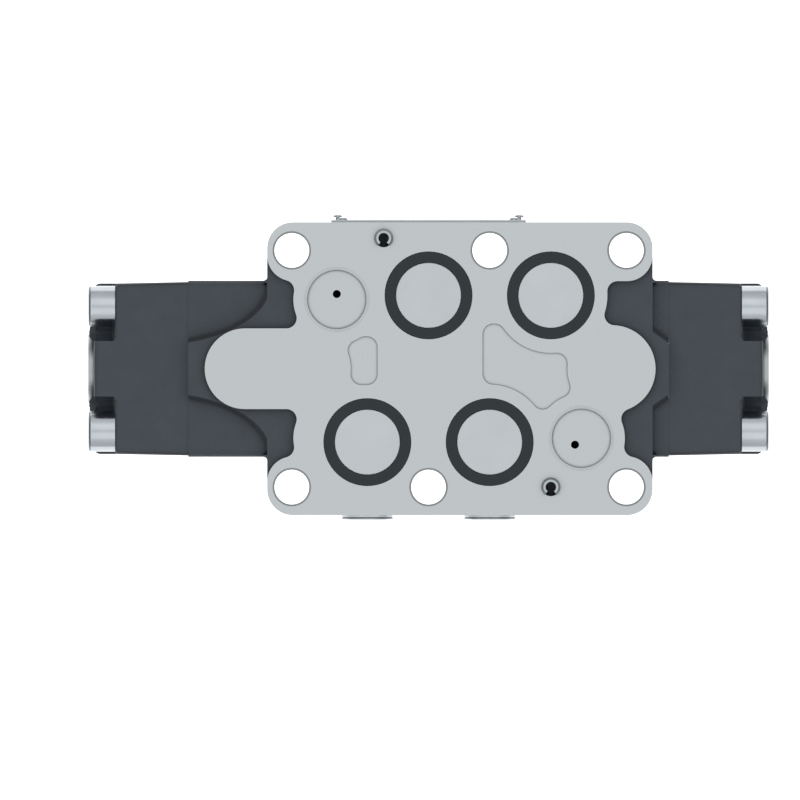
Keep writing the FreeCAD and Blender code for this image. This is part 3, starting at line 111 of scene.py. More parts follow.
class ValveColours(bpy.types.PropertyGroup):
    """The colours of the valve's finishes"""

    paint: colour("Paint", "Enamel on the castings", "3b4148")
    iron: colour("Machined iron", "Milled faces of the castings", "b4b9bb")
    zinc: colour("Zinc plate", "Screws and screw plugs", "b0b6bb")
    pin: colour("Pin steel", "Rolled pins and rivets", "a9b0b3")
    spring: colour("Spring steel", "Springs", "6f7477")
    ground: colour("Ground steel", "Spools, rods and tubes", "c4c8ca")
    rubber: colour("Seal rubber", "Seal rings", "2a3033")
    cap: colour("Cap plastic", "Port plugs", "bcc2c5")
    coil: colour("Coil plastic", "Moulded coils", "232427")
    nut: colour("Nut plastic", "Coil nuts", "1c1d1f")
    label: colour("Label metal", "Bare nameplate", "aeb3b6")
    washer: colour("Washer metal", "Washers of the screw plugs", "e4e6e7")
    tin: colour("Tin plate", "Terminal blades", "d2d2cd")
    backdrop: colour("Backdrop", "Plain board behind the valve", "f4f5f5")


class ValveSizes(bpy.types.PropertyGroup):
    """The sizes of the valve's detailed pieces"""

    seal_edge: mm("Seal edge", "Rounding of a port seal's edges", 0.35)
    cap_edge: mm("Cap edge", "Rounding of a port plug's rim", 0.3)
    cap_wall: mm("Cap wall", "Wall of a port plug", 1.6)
    cap_rim: mm("Cap rim", "Depth of a port plug's rim", 2.4)
    cap_bore: mm("Cap body", "Radius of a port plug's body", 12.4)
    pin_bore: mm("Pin bore", "Radius of a rolled pin's bore", 2.05)
    pin_squeezed: mm("Squeezed pin", "Radius of a rolled pin in its hole", 3.55)
    pin_slit: FloatProperty(
        name="Pin slit",
        description="Opening of a rolled pin's slit",
        subtype="ANGLE",
        default=math.radians(76),
    )
    pin_bevel: mm("Pin bevel", "Bevel at the end of a rolled pin", 0.85)
    pin_flare: mm("Pin flare", "Length over which a rolled pin widens", 0.4)
    screw_body: mm("Screw body", "Radius of a cover screw's body", 4.95)
    screw_head: mm("Screw head", "Radius of a cover screw's head", 8.0)
    screw_head_high: mm("Screw head height", "Height of a cover screw's head", 10.4)
    screw_seat: mm("Screw seat", "Height of the packed screw heads over the covers", 10.0)
    screw_key: mm("Screw key", "Key size of a cover screw", 8.0)
    screw_off: mm("Screw distance", "Cover screws from the spool axis, each way", 24.25)
    spool_high: mm("Spool height", "Height of the main spool's axis", 42.0)
    gauge_body: mm("Plug body", "Radius of a screw plug's body", 8.15)
    gauge_key: mm("Plug key", "Key size of a screw plug", 8.0)
    gauge_key_deep: mm("Plug key depth", "Depth of a screw plug's key hole", 5.0)
    gauge_head_high: mm("Plug head", "Height of a screw plug's head", 1.0)
    gauge_edge: mm("Plug edge", "Rounding of a screw plug's head", 0.45)
    rivet_head: mm("Rivet head", "Radius of a rivet's head", 1.8)
    rivet_neck: mm("Rivet neck", "Radius of a rivet under its head", 0.8)
    rivet_short: mm("Lower rivet", "Height of a lower rivet's head", 0.8)
    rivet_tall: mm("Upper rivet", "Height of an upper rivet's head", 1.9)
    rivet_margin: mm("Rivet margin", "Lower rivets from the plate's ends", 4.6)
    rivet_spread: mm("Rivet spread", "How much further out the upper rivets sit", 2.0)
    rivet_edge: mm("Rivet edge", "Rivets from the plate's long edges", 4.0)
    label_corner: mm("Label corner", "Corner radius of the nameplate", 0.5)
    label_edge: mm("Label edge", "Bevel round the nameplate's front", 0.15)
    pilot_screw_body: mm("Pilot screw body", "Radius of a pilot screw's body", 2.45)
    pilot_screw_head: mm("Pilot screw head", "Radius of a pilot screw's head", 4.25)
    pilot_screw_head_high: mm("Pilot screw head height", "Height of a pilot screw's head", 5.0)
    pilot_screw_key: mm("Pilot screw key", "Key size of a pilot screw", 4.0)
    pilot_screw_along: mm("Pilot screws along", "Spacing of the pilot screws along X", 40.5)
    pilot_screw_across: mm("Pilot screws across", "Spacing of the pilot screws along Y", 31.75)
    cast_low: mm("Casting height", "Rough underside of the housing over its mounting face", 3.0)
    cover_thick: mm("Cover thickness", "Thickness of an end cover's block", 28.5)
    web_long: mm("Web height", "Height of an end cover's webs over its block", 8.2)
    web_half: mm("Web half", "Half width of the packed covers' webs", 11.6)
    web_root: mm("Web root", "Radius of the hollows round the webs", 1.2)
    web_thinner: mm("Web thinner", "How much slimmer each side of a web is cast", 0.8)
    ring_inner: mm("Ring foot", "Inner radius of a disc's cast ring at its foot", 13.9)
    ring_mouth: mm("Ring mouth", "Inner radius of a disc's cast ring at its end", 16.2)
    ring_outer: mm("Ring", "Outer radius of a disc's cast ring", 19.6)
    ring_high: mm("Ring height", "End of the cast ring over a cover's joint", 38.4)
    disc: mm("Disc", "Radius of a cover's turned disc", 13.3)
    disc_edge: mm("Disc edge", "Bevel round a cover's turned disc", 0.3)
    slot_foot: mm("Slot foot", "Half width of the slot over an upright web", 9.8)
    slot_flare: FloatProperty(name="Slot flare", description="Widening of the slot per height", default=1.5)
    slot_high: mm("Slot height", "Reach of the slot's tool over the webs", 4.0)
    casting_edge: mm("Cover edge", "Rounding of the end covers' cast edges", 0.7)
    spring_play: mm("Spring play", "How much further a spring gives way than its spool travels", 0.05)
    moulded_edge: mm("Moulded edge", "Rounding of the moulded pieces' edges", 0.35)
    ring_steps: IntProperty(name="Ring steps", description="Faces round a turned piece", default=96, min=24)


def sizes():
    return bpy.context.scene.valve_sizes


def colours():
    return bpy.context.scene.valve_colours


def mode(name):
    bpy.ops.object.mode_set(mode=name)


def select_mesh():
    bpy.ops.mesh.select_all(action="SELECT")


def move(way):
    bpy.ops.transform.translate(value=way)


def inset(thickness):
    bpy.ops.mesh.inset(thickness=thickness)


def bevel(offset, segments, **settings):
    bpy.ops.mesh.bevel(offset=offset, segments=segments, **settings)


def clear():
    """Leave edit mode and select nothing."""
    if bpy.context.object and bpy.context.object.mode != "OBJECT":
        mode("OBJECT")
    bpy.ops.object.select_all(action="DESELECT")


def take(piece):
    """Make one piece the only selected one."""
    clear()
    piece.select_set(True)
    bpy.context.view_layer.objects.active = piece


def choose(kind, wanted, sharp=None):
    """Select the faces, edges or corners of the mesh in edit mode that pass a test on place and normal,
    or of its edges only those sharper than an angle."""
    bpy.ops.mesh.select_mode(type=kind)
    bpy.ops.mesh.select_all(action="DESELECT")
    mesh = bmesh.from_edit_mesh(bpy.context.object.data)
    if sharp:
        bpy.ops.mesh.edges_select_sharp(sharpness=sharp)
    if kind == "FACE":
        for face in mesh.faces:
            face.select_set(wanted(face.calc_center_median(), face.normal))
    elif kind == "EDGE":
        for edge in mesh.edges:
            allowed = edge.select or not sharp
            edge.select_set(allowed and wanted(edge.verts[0].co, edge.verts[1].co))
    else:
        for corner in mesh.verts:
            corner.select_set(wanted(corner.co, corner.normal))
    mesh.select_flush_mode()
    bmesh.update_edit_mesh(bpy.context.object.data)


def choose_end(way):
    """Select the flat faces that look one way."""
    choose("FACE", lambda at, normal: normal.dot(Vector(way)) > 0.9)


def choose_top(high):
    """Select the edges of a flat top by its height."""
    choose("EDGE", lambda a, b: min(a.z, b.z) > high - TOUCH)


def choose_foot(low):
    """Select the edges of a flat underside by its height."""
    choose("EDGE", lambda a, b: max(a.z, b.z) < low + TOUCH)


def extrude(up):
    """Pull what is selected out along Z."""
    bpy.ops.mesh.extrude_region_move(TRANSFORM_OT_translate={"value": (0, 0, up)})


def tidy_mesh():
    """Merge the doubles of the mesh in edit mode and turn its faces outwards."""
    select_mesh()
    bpy.ops.mesh.remove_doubles(threshold=DOUBLES)
    bpy.ops.mesh.normals_make_consistent(inside=False)
    mode("OBJECT")


def apply_place():
    """Move the taken piece's place, turn and scale into its mesh."""
    bpy.ops.object.transform_apply(location=True, rotation=True, scale=True)


def bar(radius, low, high, vertices=None):
    """A round bar along Z, left in edit mode."""
    clear()
    at = (0, 0, (low + high) / 2)
    steps = vertices or sizes().ring_steps
    bpy.ops.mesh.primitive_cylinder_add(vertices=steps, radius=radius, depth=high - low, location=at)
    apply_place()
    mode("EDIT")
    return bpy.context.object


def block(centre, size):
    """A box, left in edit mode."""
    clear()
    bpy.ops.mesh.primitive_cube_add(size=1, location=centre)
    bpy.context.object.scale = size
    apply_place()
    mode("EDIT")
    return bpy.context.object


def section(inner, outer, low, high):
    """A flat rectangle beside the Z axis, the cross section of a ring, left in edit mode."""
    clear()
    centre = ((inner + outer) / 2, 0, (low + high) / 2)
    bpy.ops.mesh.primitive_plane_add(size=1, location=centre, rotation=(math.pi / 2, 0, 0))
    bpy.context.object.scale = (outer - inner, high - low, 1)
    apply_place()
    mode("EDIT")
    select_mesh()
    return bpy.context.object


def spin_shut():
    """Spin the outline in edit mode once round Z and close it."""
    select_mesh()
    bpy.ops.mesh.delete(type="ONLY_FACE")
    select_mesh()
    bpy.ops.mesh.spin(steps=sizes().ring_steps, angle=math.tau, center=(0, 0, 0), axis=(0, 0, 1))
    tidy_mesh()


def remove(piece):
    """Delete one piece."""
    take(piece)
    bpy.ops.object.delete()


def modify(piece, kind, **settings):
    """Add a modifier with its settings to a piece and apply it."""
    take(piece)
    bpy.ops.object.modifier_add(type=kind)
    modifier = piece.modifiers[-1]
    for name, value in settings.items():
        setattr(modifier, name, value)
    bpy.ops.object.modifier_apply(modifier=modifier.name)


def cut(piece, tool, operation="DIFFERENCE"):
    """Cut a tool's shape out of a piece, or with UNION melt it to the piece."""
    modify(piece, "BOOLEAN", operation=operation, object=tool)
    remove(tool)


def key_hole(piece, key, deep, top):
    """Cut a hexagon socket with a drilled point and a bevelled mouth into the top of a screw head."""
    corner = key / 2 / math.cos(math.pi / 6)
    tool = bar(corner, top - deep, top + key, vertices=6)
    choose_end((0, 0, -1))
    inset(0)
    bpy.ops.transform.resize(value=(0.05, 0.05, 1))
    move((0, 0, -0.25 * key))
    mode("OBJECT")
    cut(piece, tool)
    clear()
    bpy.ops.mesh.primitive_cone_add(
        vertices=48, radius1=0.9 * corner, radius2=1.3 * corner, depth=0.4 * corner, location=(0, 0, top)
    )
    cut(piece, bpy.context.object)


def socket_screw(body, head, head_high, key, long):
    """A socket head screw along Z, its head standing on Z = 0."""
    piece = bar(head, 0, head_high)
    choose_top(head_high)
    bevel(head * SCREW_BEVEL, 4)
    choose_end((0, 0, -1))
    inset(head - body)
    extrude(-long)
    bevel(body * SCREW_BEVEL, 1)
    tidy_mesh()
    key_hole(piece, key, head_high * KEY_DEPTH, head_high)
    return piece


def copy_of(piece):
    """A second piece with its own mesh."""
    take(piece)
    bpy.ops.object.duplicate(linked=False)
    return bpy.context.object


def settle(piece, name, node, slot, at=(0, 0, 0), turn=(0, 0, 0), body="valve", smooth=35, finish=None):
    """Place a finished piece, give it its finish and let it ride on its body, for a CAD node."""
    take(piece)
    piece.name = name
    piece.data.name = name
    piece.location = at
    piece.rotation_euler = turn
    apply_place()
    bpy.ops.object.shade_smooth_by_angle(angle=math.radians(smooth))
    modify(piece, "WEIGHTED_NORMAL", keep_sharp=True)
    piece.data.materials.clear()
    piece.data.materials.append(finishes[finish or slot])
    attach(piece, body)
    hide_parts(node)


def merged_copy(node):
    """A copy of a CAD node with its triangles merged, left in edit mode."""
    copy = bpy.data.objects.new(node + "_dressed", frame["nodes"][node].data.copy())
    bpy.context.scene.collection.objects.link(copy)
    take(copy)
    bpy.ops.mesh.customdata_custom_splitnormals_clear()
    mode("EDIT")
    select_mesh()
    bpy.ops.mesh.remove_doubles(threshold=DOUBLES)
    bpy.ops.mesh.dissolve_limited(angle_limit=math.radians(0.5))
    return copy


def softened_copy(node, width):
    """A merged copy of a CAD node with its sharp edges rounded."""
    copy = merged_copy(node)
    mode("OBJECT")
    modify(copy, "BEVEL", width=width, segments=2, limit_method="ANGLE", angle_limit=SHARP)
    return copy


def middle(node):
    """The middle of a node's box."""
    low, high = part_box(node)
    return (low + high) / 2


def on_face(place):
    """The point of the mounting face under a place."""
    return Vector((place[0], place[1], 0))


# Finishes


def add(tree, kind, inputs=(), **settings):
    """A shader node with its settings, its inputs set to values or joined to other nodes' outputs."""
    node = tree.nodes.new("ShaderNode" + kind)
    for name, value in settings.items():
        setattr(node, name, value)
    for name, value in dict(inputs).items():
        if isinstance(value, bpy.types.NodeSocket):
            tree.links.new(value, node.inputs[name])
        else:
            node.inputs[name].default_value = value
    return node


def new_finish(name):
    """An empty material, its node tree and the object coordinates in it."""
    material = bpy.data.materials.new(name)
    material.use_nodes = True
    tree = material.node_tree
    tree.nodes.clear()
    place = add(tree, "TexCoord").outputs["Object"]
    return material, tree, place


def put_on(tree, surface):
    """Give a material the surface that these shader inputs describe."""
    shader = add(tree, "BsdfPrincipled", surface)
    add(tree, "OutputMaterial", {"Surface": shader.outputs[0]})


def speckle(tree, place, pitch):
    """Noise whose grains are about a pitch in metres wide."""
    return add(tree, "TexNoise", {"Vector": place, "Scale": 1 / pitch, "Detail": 3.0}).outputs[0]


def spread(tree, value, low, high):
    """A noise value stretched from its usual span to two limits."""
    limits = {"Value": value, "From Min": 0.3, "From Max": 0.7, "To Min": low, "To Max": high}
    return add(tree, "MapRange", limits).outputs[0]


def shaded(tree, value, base, darker, lighter):
    """A colour that a noise value takes from a little darker to a little lighter than the base."""
    amount = spread(tree, value, darker, lighter)
    return add(tree, "HueSaturation", {"Value": amount, "Color": base}).outputs[0]


def near(tree, value, target, reach):
    """1 where a value lies within a reach of a target, else 0."""
    return add(tree, "Math", {0: value, 1: target, 2: reach}, operation="COMPARE").outputs[0]


def both(tree, one, other):
    """The product of two values: 1 where both hold."""
    return add(tree, "Math", {0: one, 1: other}, operation="MULTIPLY").outputs[0]


def either(tree, parts):
    """The largest of several values: 1 where any holds."""
    total = parts[0]
    for part in parts[1:]:
        total = add(tree, "Math", {0: total, 1: part}, operation="MAXIMUM").outputs[0]
    return total


def self_shade(tree, reach, darkest):
    """Painted shade from ambient occlusion: 1 in the open, and down to the darkest value in corners no wider
    than a reach.
    """
    open_air = add(tree, "AmbientOcclusion", {"Distance": reach}, samples=8, only_local=True).outputs["AO"]
    limits = {"Value": open_air, "From Min": 0.4, "From Max": 0.92, "To Min": darkest, "To Max": 1.0}
    return add(tree, "MapRange", limits).outputs[0]


def painted_shade(tree, place, bare, under):
    """Painted shade: the share of its light that a casting keeps in its corners and on its low flanks."""
    # Painted shade draws a dark line a millimetre wide in every inner corner, and a hair line on iron
    corner = self_shade(tree, 1.5 * MM, 0.55)
    hair = self_shade(tree, 1.3 * MM, 0.3)
    # Painted shade also darkens the sloping flanks in a band 1.2 mm high just above the casting's underside
    down = add(tree, "SeparateXYZ", {0: add(tree, "NewGeometry").outputs["Normal"]}).outputs["Z"]
    high = add(tree, "SeparateXYZ", {0: place}).outputs["Z"]
    band = near(tree, high, under + 0.95 * MM, 0.6 * MM)
    flank = both(tree, near(tree, down, -0.5, 0.25), band)
    flank_shade = add(tree, "MapRange", {"Value": flank, "To Min": 1.0, "To Max": 0.32}).outputs[0]
    return add(tree, "Mix", {0: bare, 2: both(tree, corner, flank_shade), 3: hair}).outputs[0]


def enamelled_casting(name, bare_parts, under):
    """Alkyd enamel sprayed on sand cast iron, with the places that a cutter has bared, and painted shade in
    its corners and on its low flanks.
    """
    # The eye gets a dull dark grey skin with the grain of the sand under it, and on the milled
    # faces a clean pale metal with the faint arcs of a wide cutter.
    material, tree, place = new_finish(name)
    bare = bare_parts(tree, place)
    skin = speckle(tree, place, 1.1 * MM)
    swell = speckle(tree, place, 9 * MM)
    paint = shaded(tree, swell, colours().paint, 0.94, 1.06)
    # Cutter marks half a millimetre apart, drawn three times as coarse so that they show: the
    # texture's rings are 0.31 of 1 / Scale apart
    rings = {"Vector": place, "Scale": 1 / (5 * MM), "Distortion": 0.2}
    arcs = add(tree, "TexWave", rings, wave_type="RINGS", rings_direction="Z").outputs["Fac"]
    iron = shaded(tree, arcs, colours().iron, 0.99, 1.01)
    clean = add(tree, "Mix", {0: bare, 6: paint, 7: iron}, data_type="RGBA").outputs[2]
    # Painted shade in the corners and on the low flanks, multiplied into the colour
    light = painted_shade(tree, place, bare, under)
    base = add(tree, "HueSaturation", {"Value": light, "Color": clean}).outputs[0]
    dull = spread(tree, skin, 0.5, 0.62)
    milled = spread(tree, arcs, 0.34, 0.4)
    rough = add(tree, "Mix", {0: bare, 2: dull, 3: milled}).outputs[0]
    both_heights = add(tree, "Math", {0: swell, 1: 2.0, 2: skin}, operation="MULTIPLY_ADD").outputs[0]
    cast = add(tree, "Math", {0: 1.0, 1: bare}, operation="SUBTRACT").outputs[0]
    height = both(tree, both_heights, cast)
    bump = add(tree, "Bump", {"Height": height, "Strength": 0.35, "Distance": 0.12 * MM}).outputs[0]
    surface = {"Base Color": base, "Metallic": bare, "Roughness": rough, "Specular IOR Level": 0.3}
    put_on(tree, {**surface, "Normal": bump})
    return material


def facing(tree, axis, sign):
    """1 where the surface looks along an axis, counted with its sign."""
    normal = add(tree, "NewGeometry").outputs["Normal"]
    part = add(tree, "SeparateXYZ", {0: normal}).outputs[axis]
    turned = add(tree, "Math", {0: part, 1: sign}, operation="MULTIPLY").outputs[0]
    return add(tree, "Math", {0: turned, 1: 0.3}, operation="GREATER_THAN").outputs[0]


def from_upright(tree, place, through):
    """The distance from the upright line through a point."""
    flat = add(tree, "VectorMath", {0: place, 1: (1, 1, 0)}, operation="MULTIPLY").outputs[0]
    foot = on_face(through)
    return add(tree, "VectorMath", {0: flat, 1: foot}, operation="DISTANCE").outputs["Value"]


def from_middle(tree, x, low, high):
    """The distance along X from the middle between two ends."""
    off = add(tree, "Math", {0: x, 1: -(low + high) / 2}, operation="ADD").outputs[0]
    return add(tree, "Math", {0: off}, operation="ABSOLUTE").outputs[0]


def housing_bare(tree, place):
    """The housing's milled faces, its screw holes and their seats."""
    # Depths of the mounting face's edge, the pilot ports' seats, the pins' holes and their mouths
    edge, seat_deep, pin_deep, mouth_deep = (deep * MM for deep in (0.95, 2.5, 20, 1.2))
    # Radii of the seats, the pins' holes and the screw holes
    seat, pin, screw = (radius * MM for radius in (12.85, 3.95, 6.9))
    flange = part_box("nameplate")[1].z + 10 * MM
    x, _, z = add(tree, "SeparateXYZ", {0: place}).outputs
    parts = [both(tree, near(tree, z, 0, edge), facing(tree, "Z", -1))]
    for level in (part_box("pilot_body")[0].z, flange):
        parts.append(both(tree, near(tree, z, level, SKIN), facing(tree, "Z", 1)))
    half = seat_deep / 2
    seats = both(tree, near(tree, z, half - SKIN, half + SKIN), facing(tree, "Z", -1))
    for mount in frame["record"]["mounts"]:
        if mount["name"].startswith("pilot_port"):
            gap = from_upright(tree, place, mount["pos_m"])
            parts.append(both(tree, seats, near(tree, gap, 0, seat)))
        if mount["name"].endswith("locating_pin"):
            gap = from_upright(tree, place, mount["pos_m"])
            hole = both(tree, near(tree, gap, 0, pin), near(tree, z, 0, pin_deep))
            mouth = both(tree, hole, near(tree, z, 0, mouth_deep))
            # A pin's hole is half bare at its mouth, and oily further in
            parts += [both(tree, mouth, 0.42), both(tree, hole, 0.2)]
    for opening in frame["record"]["physics"]["openings"]:
        corner, other = (Vector(p) for p in opening["box_m"])
        gap = from_upright(tree, place, (corner + other) / 2)
        parts.append(near(tree, gap, 0, screw))
    low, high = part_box("housing")
    out = from_middle(tree, x, low.x, high.x)
    looking = either(tree, [facing(tree, "X", 1), facing(tree, "X", -1)])
    parts.append(both(tree, looking, near(tree, out, (high.x - low.x) / 2, SKIN)))
    return either(tree, parts)


def cover_bare(tree, place):
    """An end cover's turned disc, with 2.3 mm of its side."""
    x, y, z = add(tree, "SeparateXYZ", {0: place}).outputs
    low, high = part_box("end_cover_left")[0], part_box("end_cover_right")[1]
    out = from_middle(tree, x, low.x, high.x)
    tip = near(tree, out, (high.x - low.x) / 2, 2.3 * MM)
    turned = add(tree, "CombineXYZ", {"Y": y, "Z": z}).outputs[0]
    axis = (0, 0, (low.z + high.z) / 2)
    gap = add(tree, "VectorMath", {0: turned, 1: axis}, operation="DISTANCE").outputs["Value"]
    return both(tree, tip, near(tree, gap, 0, sizes().disc + SKIN))


def pilot_bare(tree, place):
    """The seats of the pilot body's screws."""
    z = add(tree, "SeparateXYZ", {0: place}).outputs["Z"]
    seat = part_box("pilot_screws")[1].z - sizes().pilot_screw_head_high
    return both(tree, near(tree, z, seat, SKIN), facing(tree, "Z", 1))


def metal(name, base, roughness, pitch, stretch, depth, rim=None):
    """Steel or light alloy: base colour, shine, marks a pitch apart that a stretch draws out, and for
    turned pieces the axis of a rim with painted shade and how dark it is."""
    material, tree, place = new_finish(name)
    drawn = add(tree, "Mapping", {"Vector": place, "Scale": stretch}).outputs[0]
    marks = speckle(tree, drawn, pitch)
    cloud = speckle(tree, place, 6 * MM)
    tone = shaded(tree, cloud, base, 0.97, 1.03)
    if rim:
        axis, dark = rim
        part = add(tree, "SeparateXYZ", {0: add(tree, "NewGeometry").outputs["Normal"]}).outputs[axis]
        slant = add(tree, "Math", {0: part}, operation="ABSOLUTE").outputs[0]
        # Painted shade on the bevels, whose faces look at a slant to the axis
        limits = {"Value": near(tree, slant, 0.6, 0.36), "To Min": 1.0, "To Max": dark}
        value = add(tree, "MapRange", limits).outputs[0]
        tone = add(tree, "HueSaturation", {"Value": value, "Color": tone}).outputs[0]
    rough = spread(tree, marks, roughness * 0.85, roughness * 1.15)
    bump = add(tree, "Bump", {"Height": marks, "Strength": 0.2, "Distance": depth}).outputs[0]
    surface = {"Base Color": tone, "Metallic": 1.0, "Roughness": rough, "Normal": bump}
    put_on(tree, surface)
    return material


def moulded(name, base, roughness, grain, depth, sheen=0.5):
    """A moulded or pressed polymer with the texture of its mould."""
    material, tree, place = new_finish(name)
    texture = speckle(tree, place, grain)
    flow = speckle(tree, place, 14 * MM)
    tone = shaded(tree, flow, base, 0.97, 1.03)
    rough = spread(tree, texture, roughness * 0.9, roughness * 1.1)
    bump = add(tree, "Bump", {"Height": texture, "Strength": 0.3, "Distance": depth}).outputs[0]
    surface = {"Base Color": tone, "Roughness": rough, "Normal": bump, "Specular IOR Level": sheen}
    put_on(tree, surface)
    return material


# Each finish by its slot or its piece, filled by make_finishes
finishes = {}


def make_finishes():
    """Every finish of the valve by its slot, and those of the housing, covers and cover screws."""
    c = colours()
    cover_low, pilot_low = (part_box(node)[0].z for node in ("end_cover_left", "pilot_body"))
    finishes["housing"] = enamelled_casting("enamelled_cast_iron_housing", housing_bare, sizes().cast_low)
    finishes["end_cover"] = enamelled_casting("enamelled_cast_iron_cover", cover_bare, cover_low)
    finishes["cast_body"] = enamelled_casting("enamelled_cast_iron_pilot", pilot_bare, pilot_low)
    # Marks drawn out along X or along Z, or left even
    along_x, along_z, even = (1, 0.05, 0.05), (1, 1, 0.08), (1, 1, 1)
    # Ground steel: a clean cool shine with hair lines round the piece, 0.2 mm apart
    finishes["machined_steel"] = metal("ground_steel", c.ground, 0.24, 0.2 * MM, along_x, 0.01 * MM)
    # Bright zinc plate: pale bluish grey, softly blurred reflections, faint lathe rings 0.4 mm apart
    zinc = (c.zinc, 0.2, 0.4 * MM, along_x, 0.004 * MM)
    finishes["screw_steel"] = metal("zinc_plated_steel", *zinc)
    # The same on the cover screws, with painted shade on the rims of their heads
    finishes["cover_screw"] = metal("zinc_plated_socket_screws", *zinc, rim=("X", 0.3))
    # Plain rolled steel: a little darker, drawn lines along the strip, and painted shade on the bevels
    rolled = (c.pin, 0.32, 0.3 * MM, along_z, 0.02 * MM)
    finishes["pin_steel"] = metal("rolled_steel", *rolled, rim=("Z", 0.55))
    # Oil tempered wire: dark, even, slightly glossy
    finishes["spring_steel"] = metal("oil_tempered_wire", c.spring, 0.35, 0.5 * MM, even, 0.02 * MM)
    # Pressed aluminium: pale and soft, with the grain of the sheet
    finishes["washer_metal"] = metal("pressed_aluminium", c.washer, 0.4, 0.5 * MM, even, 0.02 * MM)
    # Brushed aluminium sheet: fine lines along the plate, 0.15 mm apart, drawn at 0.3 mm
    finishes["label_metal"] = metal("brushed_aluminium", c.label, 0.36, 0.3 * MM, (0.03, 1, 1), 0.015 * MM)
    # Tin plate: pale, soft shine with a warm tinge
    finishes["contact_metal"] = metal("tin_plated_brass", c.tin, 0.33, 0.4 * MM, (1, 1, 0.1), 0.01 * MM)
    # Nitrile rubber: near black, matt, with the fine texture of its mould
    finishes["seal_rubber"] = moulded("nitrile_rubber", c.rubber, 0.62, 0.35 * MM, 0.03 * MM, 0.2)
    # Polyethylene: pale grey and waxy, almost without texture
    finishes["plug_plastic"] = moulded("polyethylene", c.cap, 0.5, 0.6 * MM, 0.01 * MM)
    # Glass filled polyamide: black, half matt, spark eroded texture of 0.3 mm
    finishes["coil_plastic"] = moulded("glass_filled_polyamide", c.coil, 0.48, 0.3 * MM, 0.04 * MM)
    # Acetal: black and glossier than the coils
    finishes["nut_plastic"] = moulded("black_acetal", c.nut, 0.34, 0.5 * MM, 0.015 * MM)


# Operators


class ValveFinishes(bpy.types.Operator):
    """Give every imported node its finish"""

    bl_idname = "valve.finishes"
    bl_label = "Finishes"

    def execute(self, context):
        make_finishes()
        for part in frame["record"]["subparts"]:
            node = part["node"]
            own = next((k for k in ("housing", "end_cover") if node.startswith(k)), part["material_slot"])
            mesh = frame["nodes"][node].data
            mesh.materials.clear()
            mesh.materials.append(finishes[own])
        return {"FINISHED"}


class ValvePortSeals(bpy.types.Operator):
    """Flat seal rings with rounded edges round the main ports"""

    bl_idname = "valve.port_seals"
    bl_label = "Port seals"

    def execute(self, context):
        s = sizes()
        low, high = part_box("port_seal_p")
        plug_low, plug_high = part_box("port_plug_p")
        inner = (plug_high.x - plug_low.x) / 2 + PLAY
        model = section(inner, (high.x - low.x) / 2, low.z, high.z)
        bevel(s.seal_edge, 4, affect="VERTICES")
        spin_shut()
        for port in PORTS:
            node = f"port_seal_{port}"
            settle(copy_of(model), f"flat_seal_{port}", node, "seal_rubber", on_face(middle(node)))
        remove(model)
        return {"FINISHED"}


class ValvePortPlugs(bpy.types.Operator):
    """Hollow transport plugs in the main ports"""

    bl_idname = "valve.port_plugs"
    bl_label = "Port plugs"

    def execute(self, context):
        s = sizes()
        low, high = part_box("port_plug_p")
        radius = (high.x - low.x) / 2
        model = bar(radius, low.z, low.z + s.cap_rim)
        choose_foot(low.z)
        bevel(s.cap_edge, 3)
        choose_end((0, 0, 1))
        inset(radius - s.cap_bore)
        extrude(high.z - low.z - s.cap_rim)
        inset(s.cap_wall)
        extrude(s.cap_wall - high.z)
        tidy_mesh()
        for port in PORTS:
            node = f"port_plug_{port}"
            settle(copy_of(model), f"port_cap_{port}", node, "plug_plastic", on_face(middle(node)))
        remove(model)
        return {"FINISHED"}


class ValveLocatingPins(bpy.types.Operator):
    """Rolled pins with a slit, squeezed by their holes"""

    bl_idname = "valve.locating_pins"
    bl_label = "Locating pins"

    def execute(self, context):
        s = sizes()
        low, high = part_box("locating_pin_front")
        free = (high.x - low.x) / 2
        model = section(s.pin_bore, s.pin_squeezed, 0, high.z)
        # Down and outwards: the flare, the free length and the bevel
        steps = [
            (-s.pin_flare, free - s.pin_squeezed),
            (low.z + s.pin_flare + s.pin_bevel, 0),
            (-s.pin_bevel, -s.pin_bevel),
        ]
        bottom = 0
        for down, out in steps:
            choose_foot(bottom)
            extrude(down)
            bottom += down
            choose("VERT", lambda at, normal: at.z < bottom + TOUCH and at.x > s.pin_bore + TOUCH)
            move((out, 0, 0))
        select_mesh()
        bpy.ops.mesh.spin(steps=64, angle=math.tau - s.pin_slit, center=(0, 0, 0), axis=(0, 0, 1))
        tidy_mesh()
        turn = (0, 0, math.pi / 2 - s.pin_slit / 2)
        for place in ("front", "rear"):
            node = f"locating_pin_{place}"
            settle(copy_of(model), f"rolled_pin_{place}", node, "pin_steel", on_face(middle(node)), turn)
        remove(model)
        return {"FINISHED"}


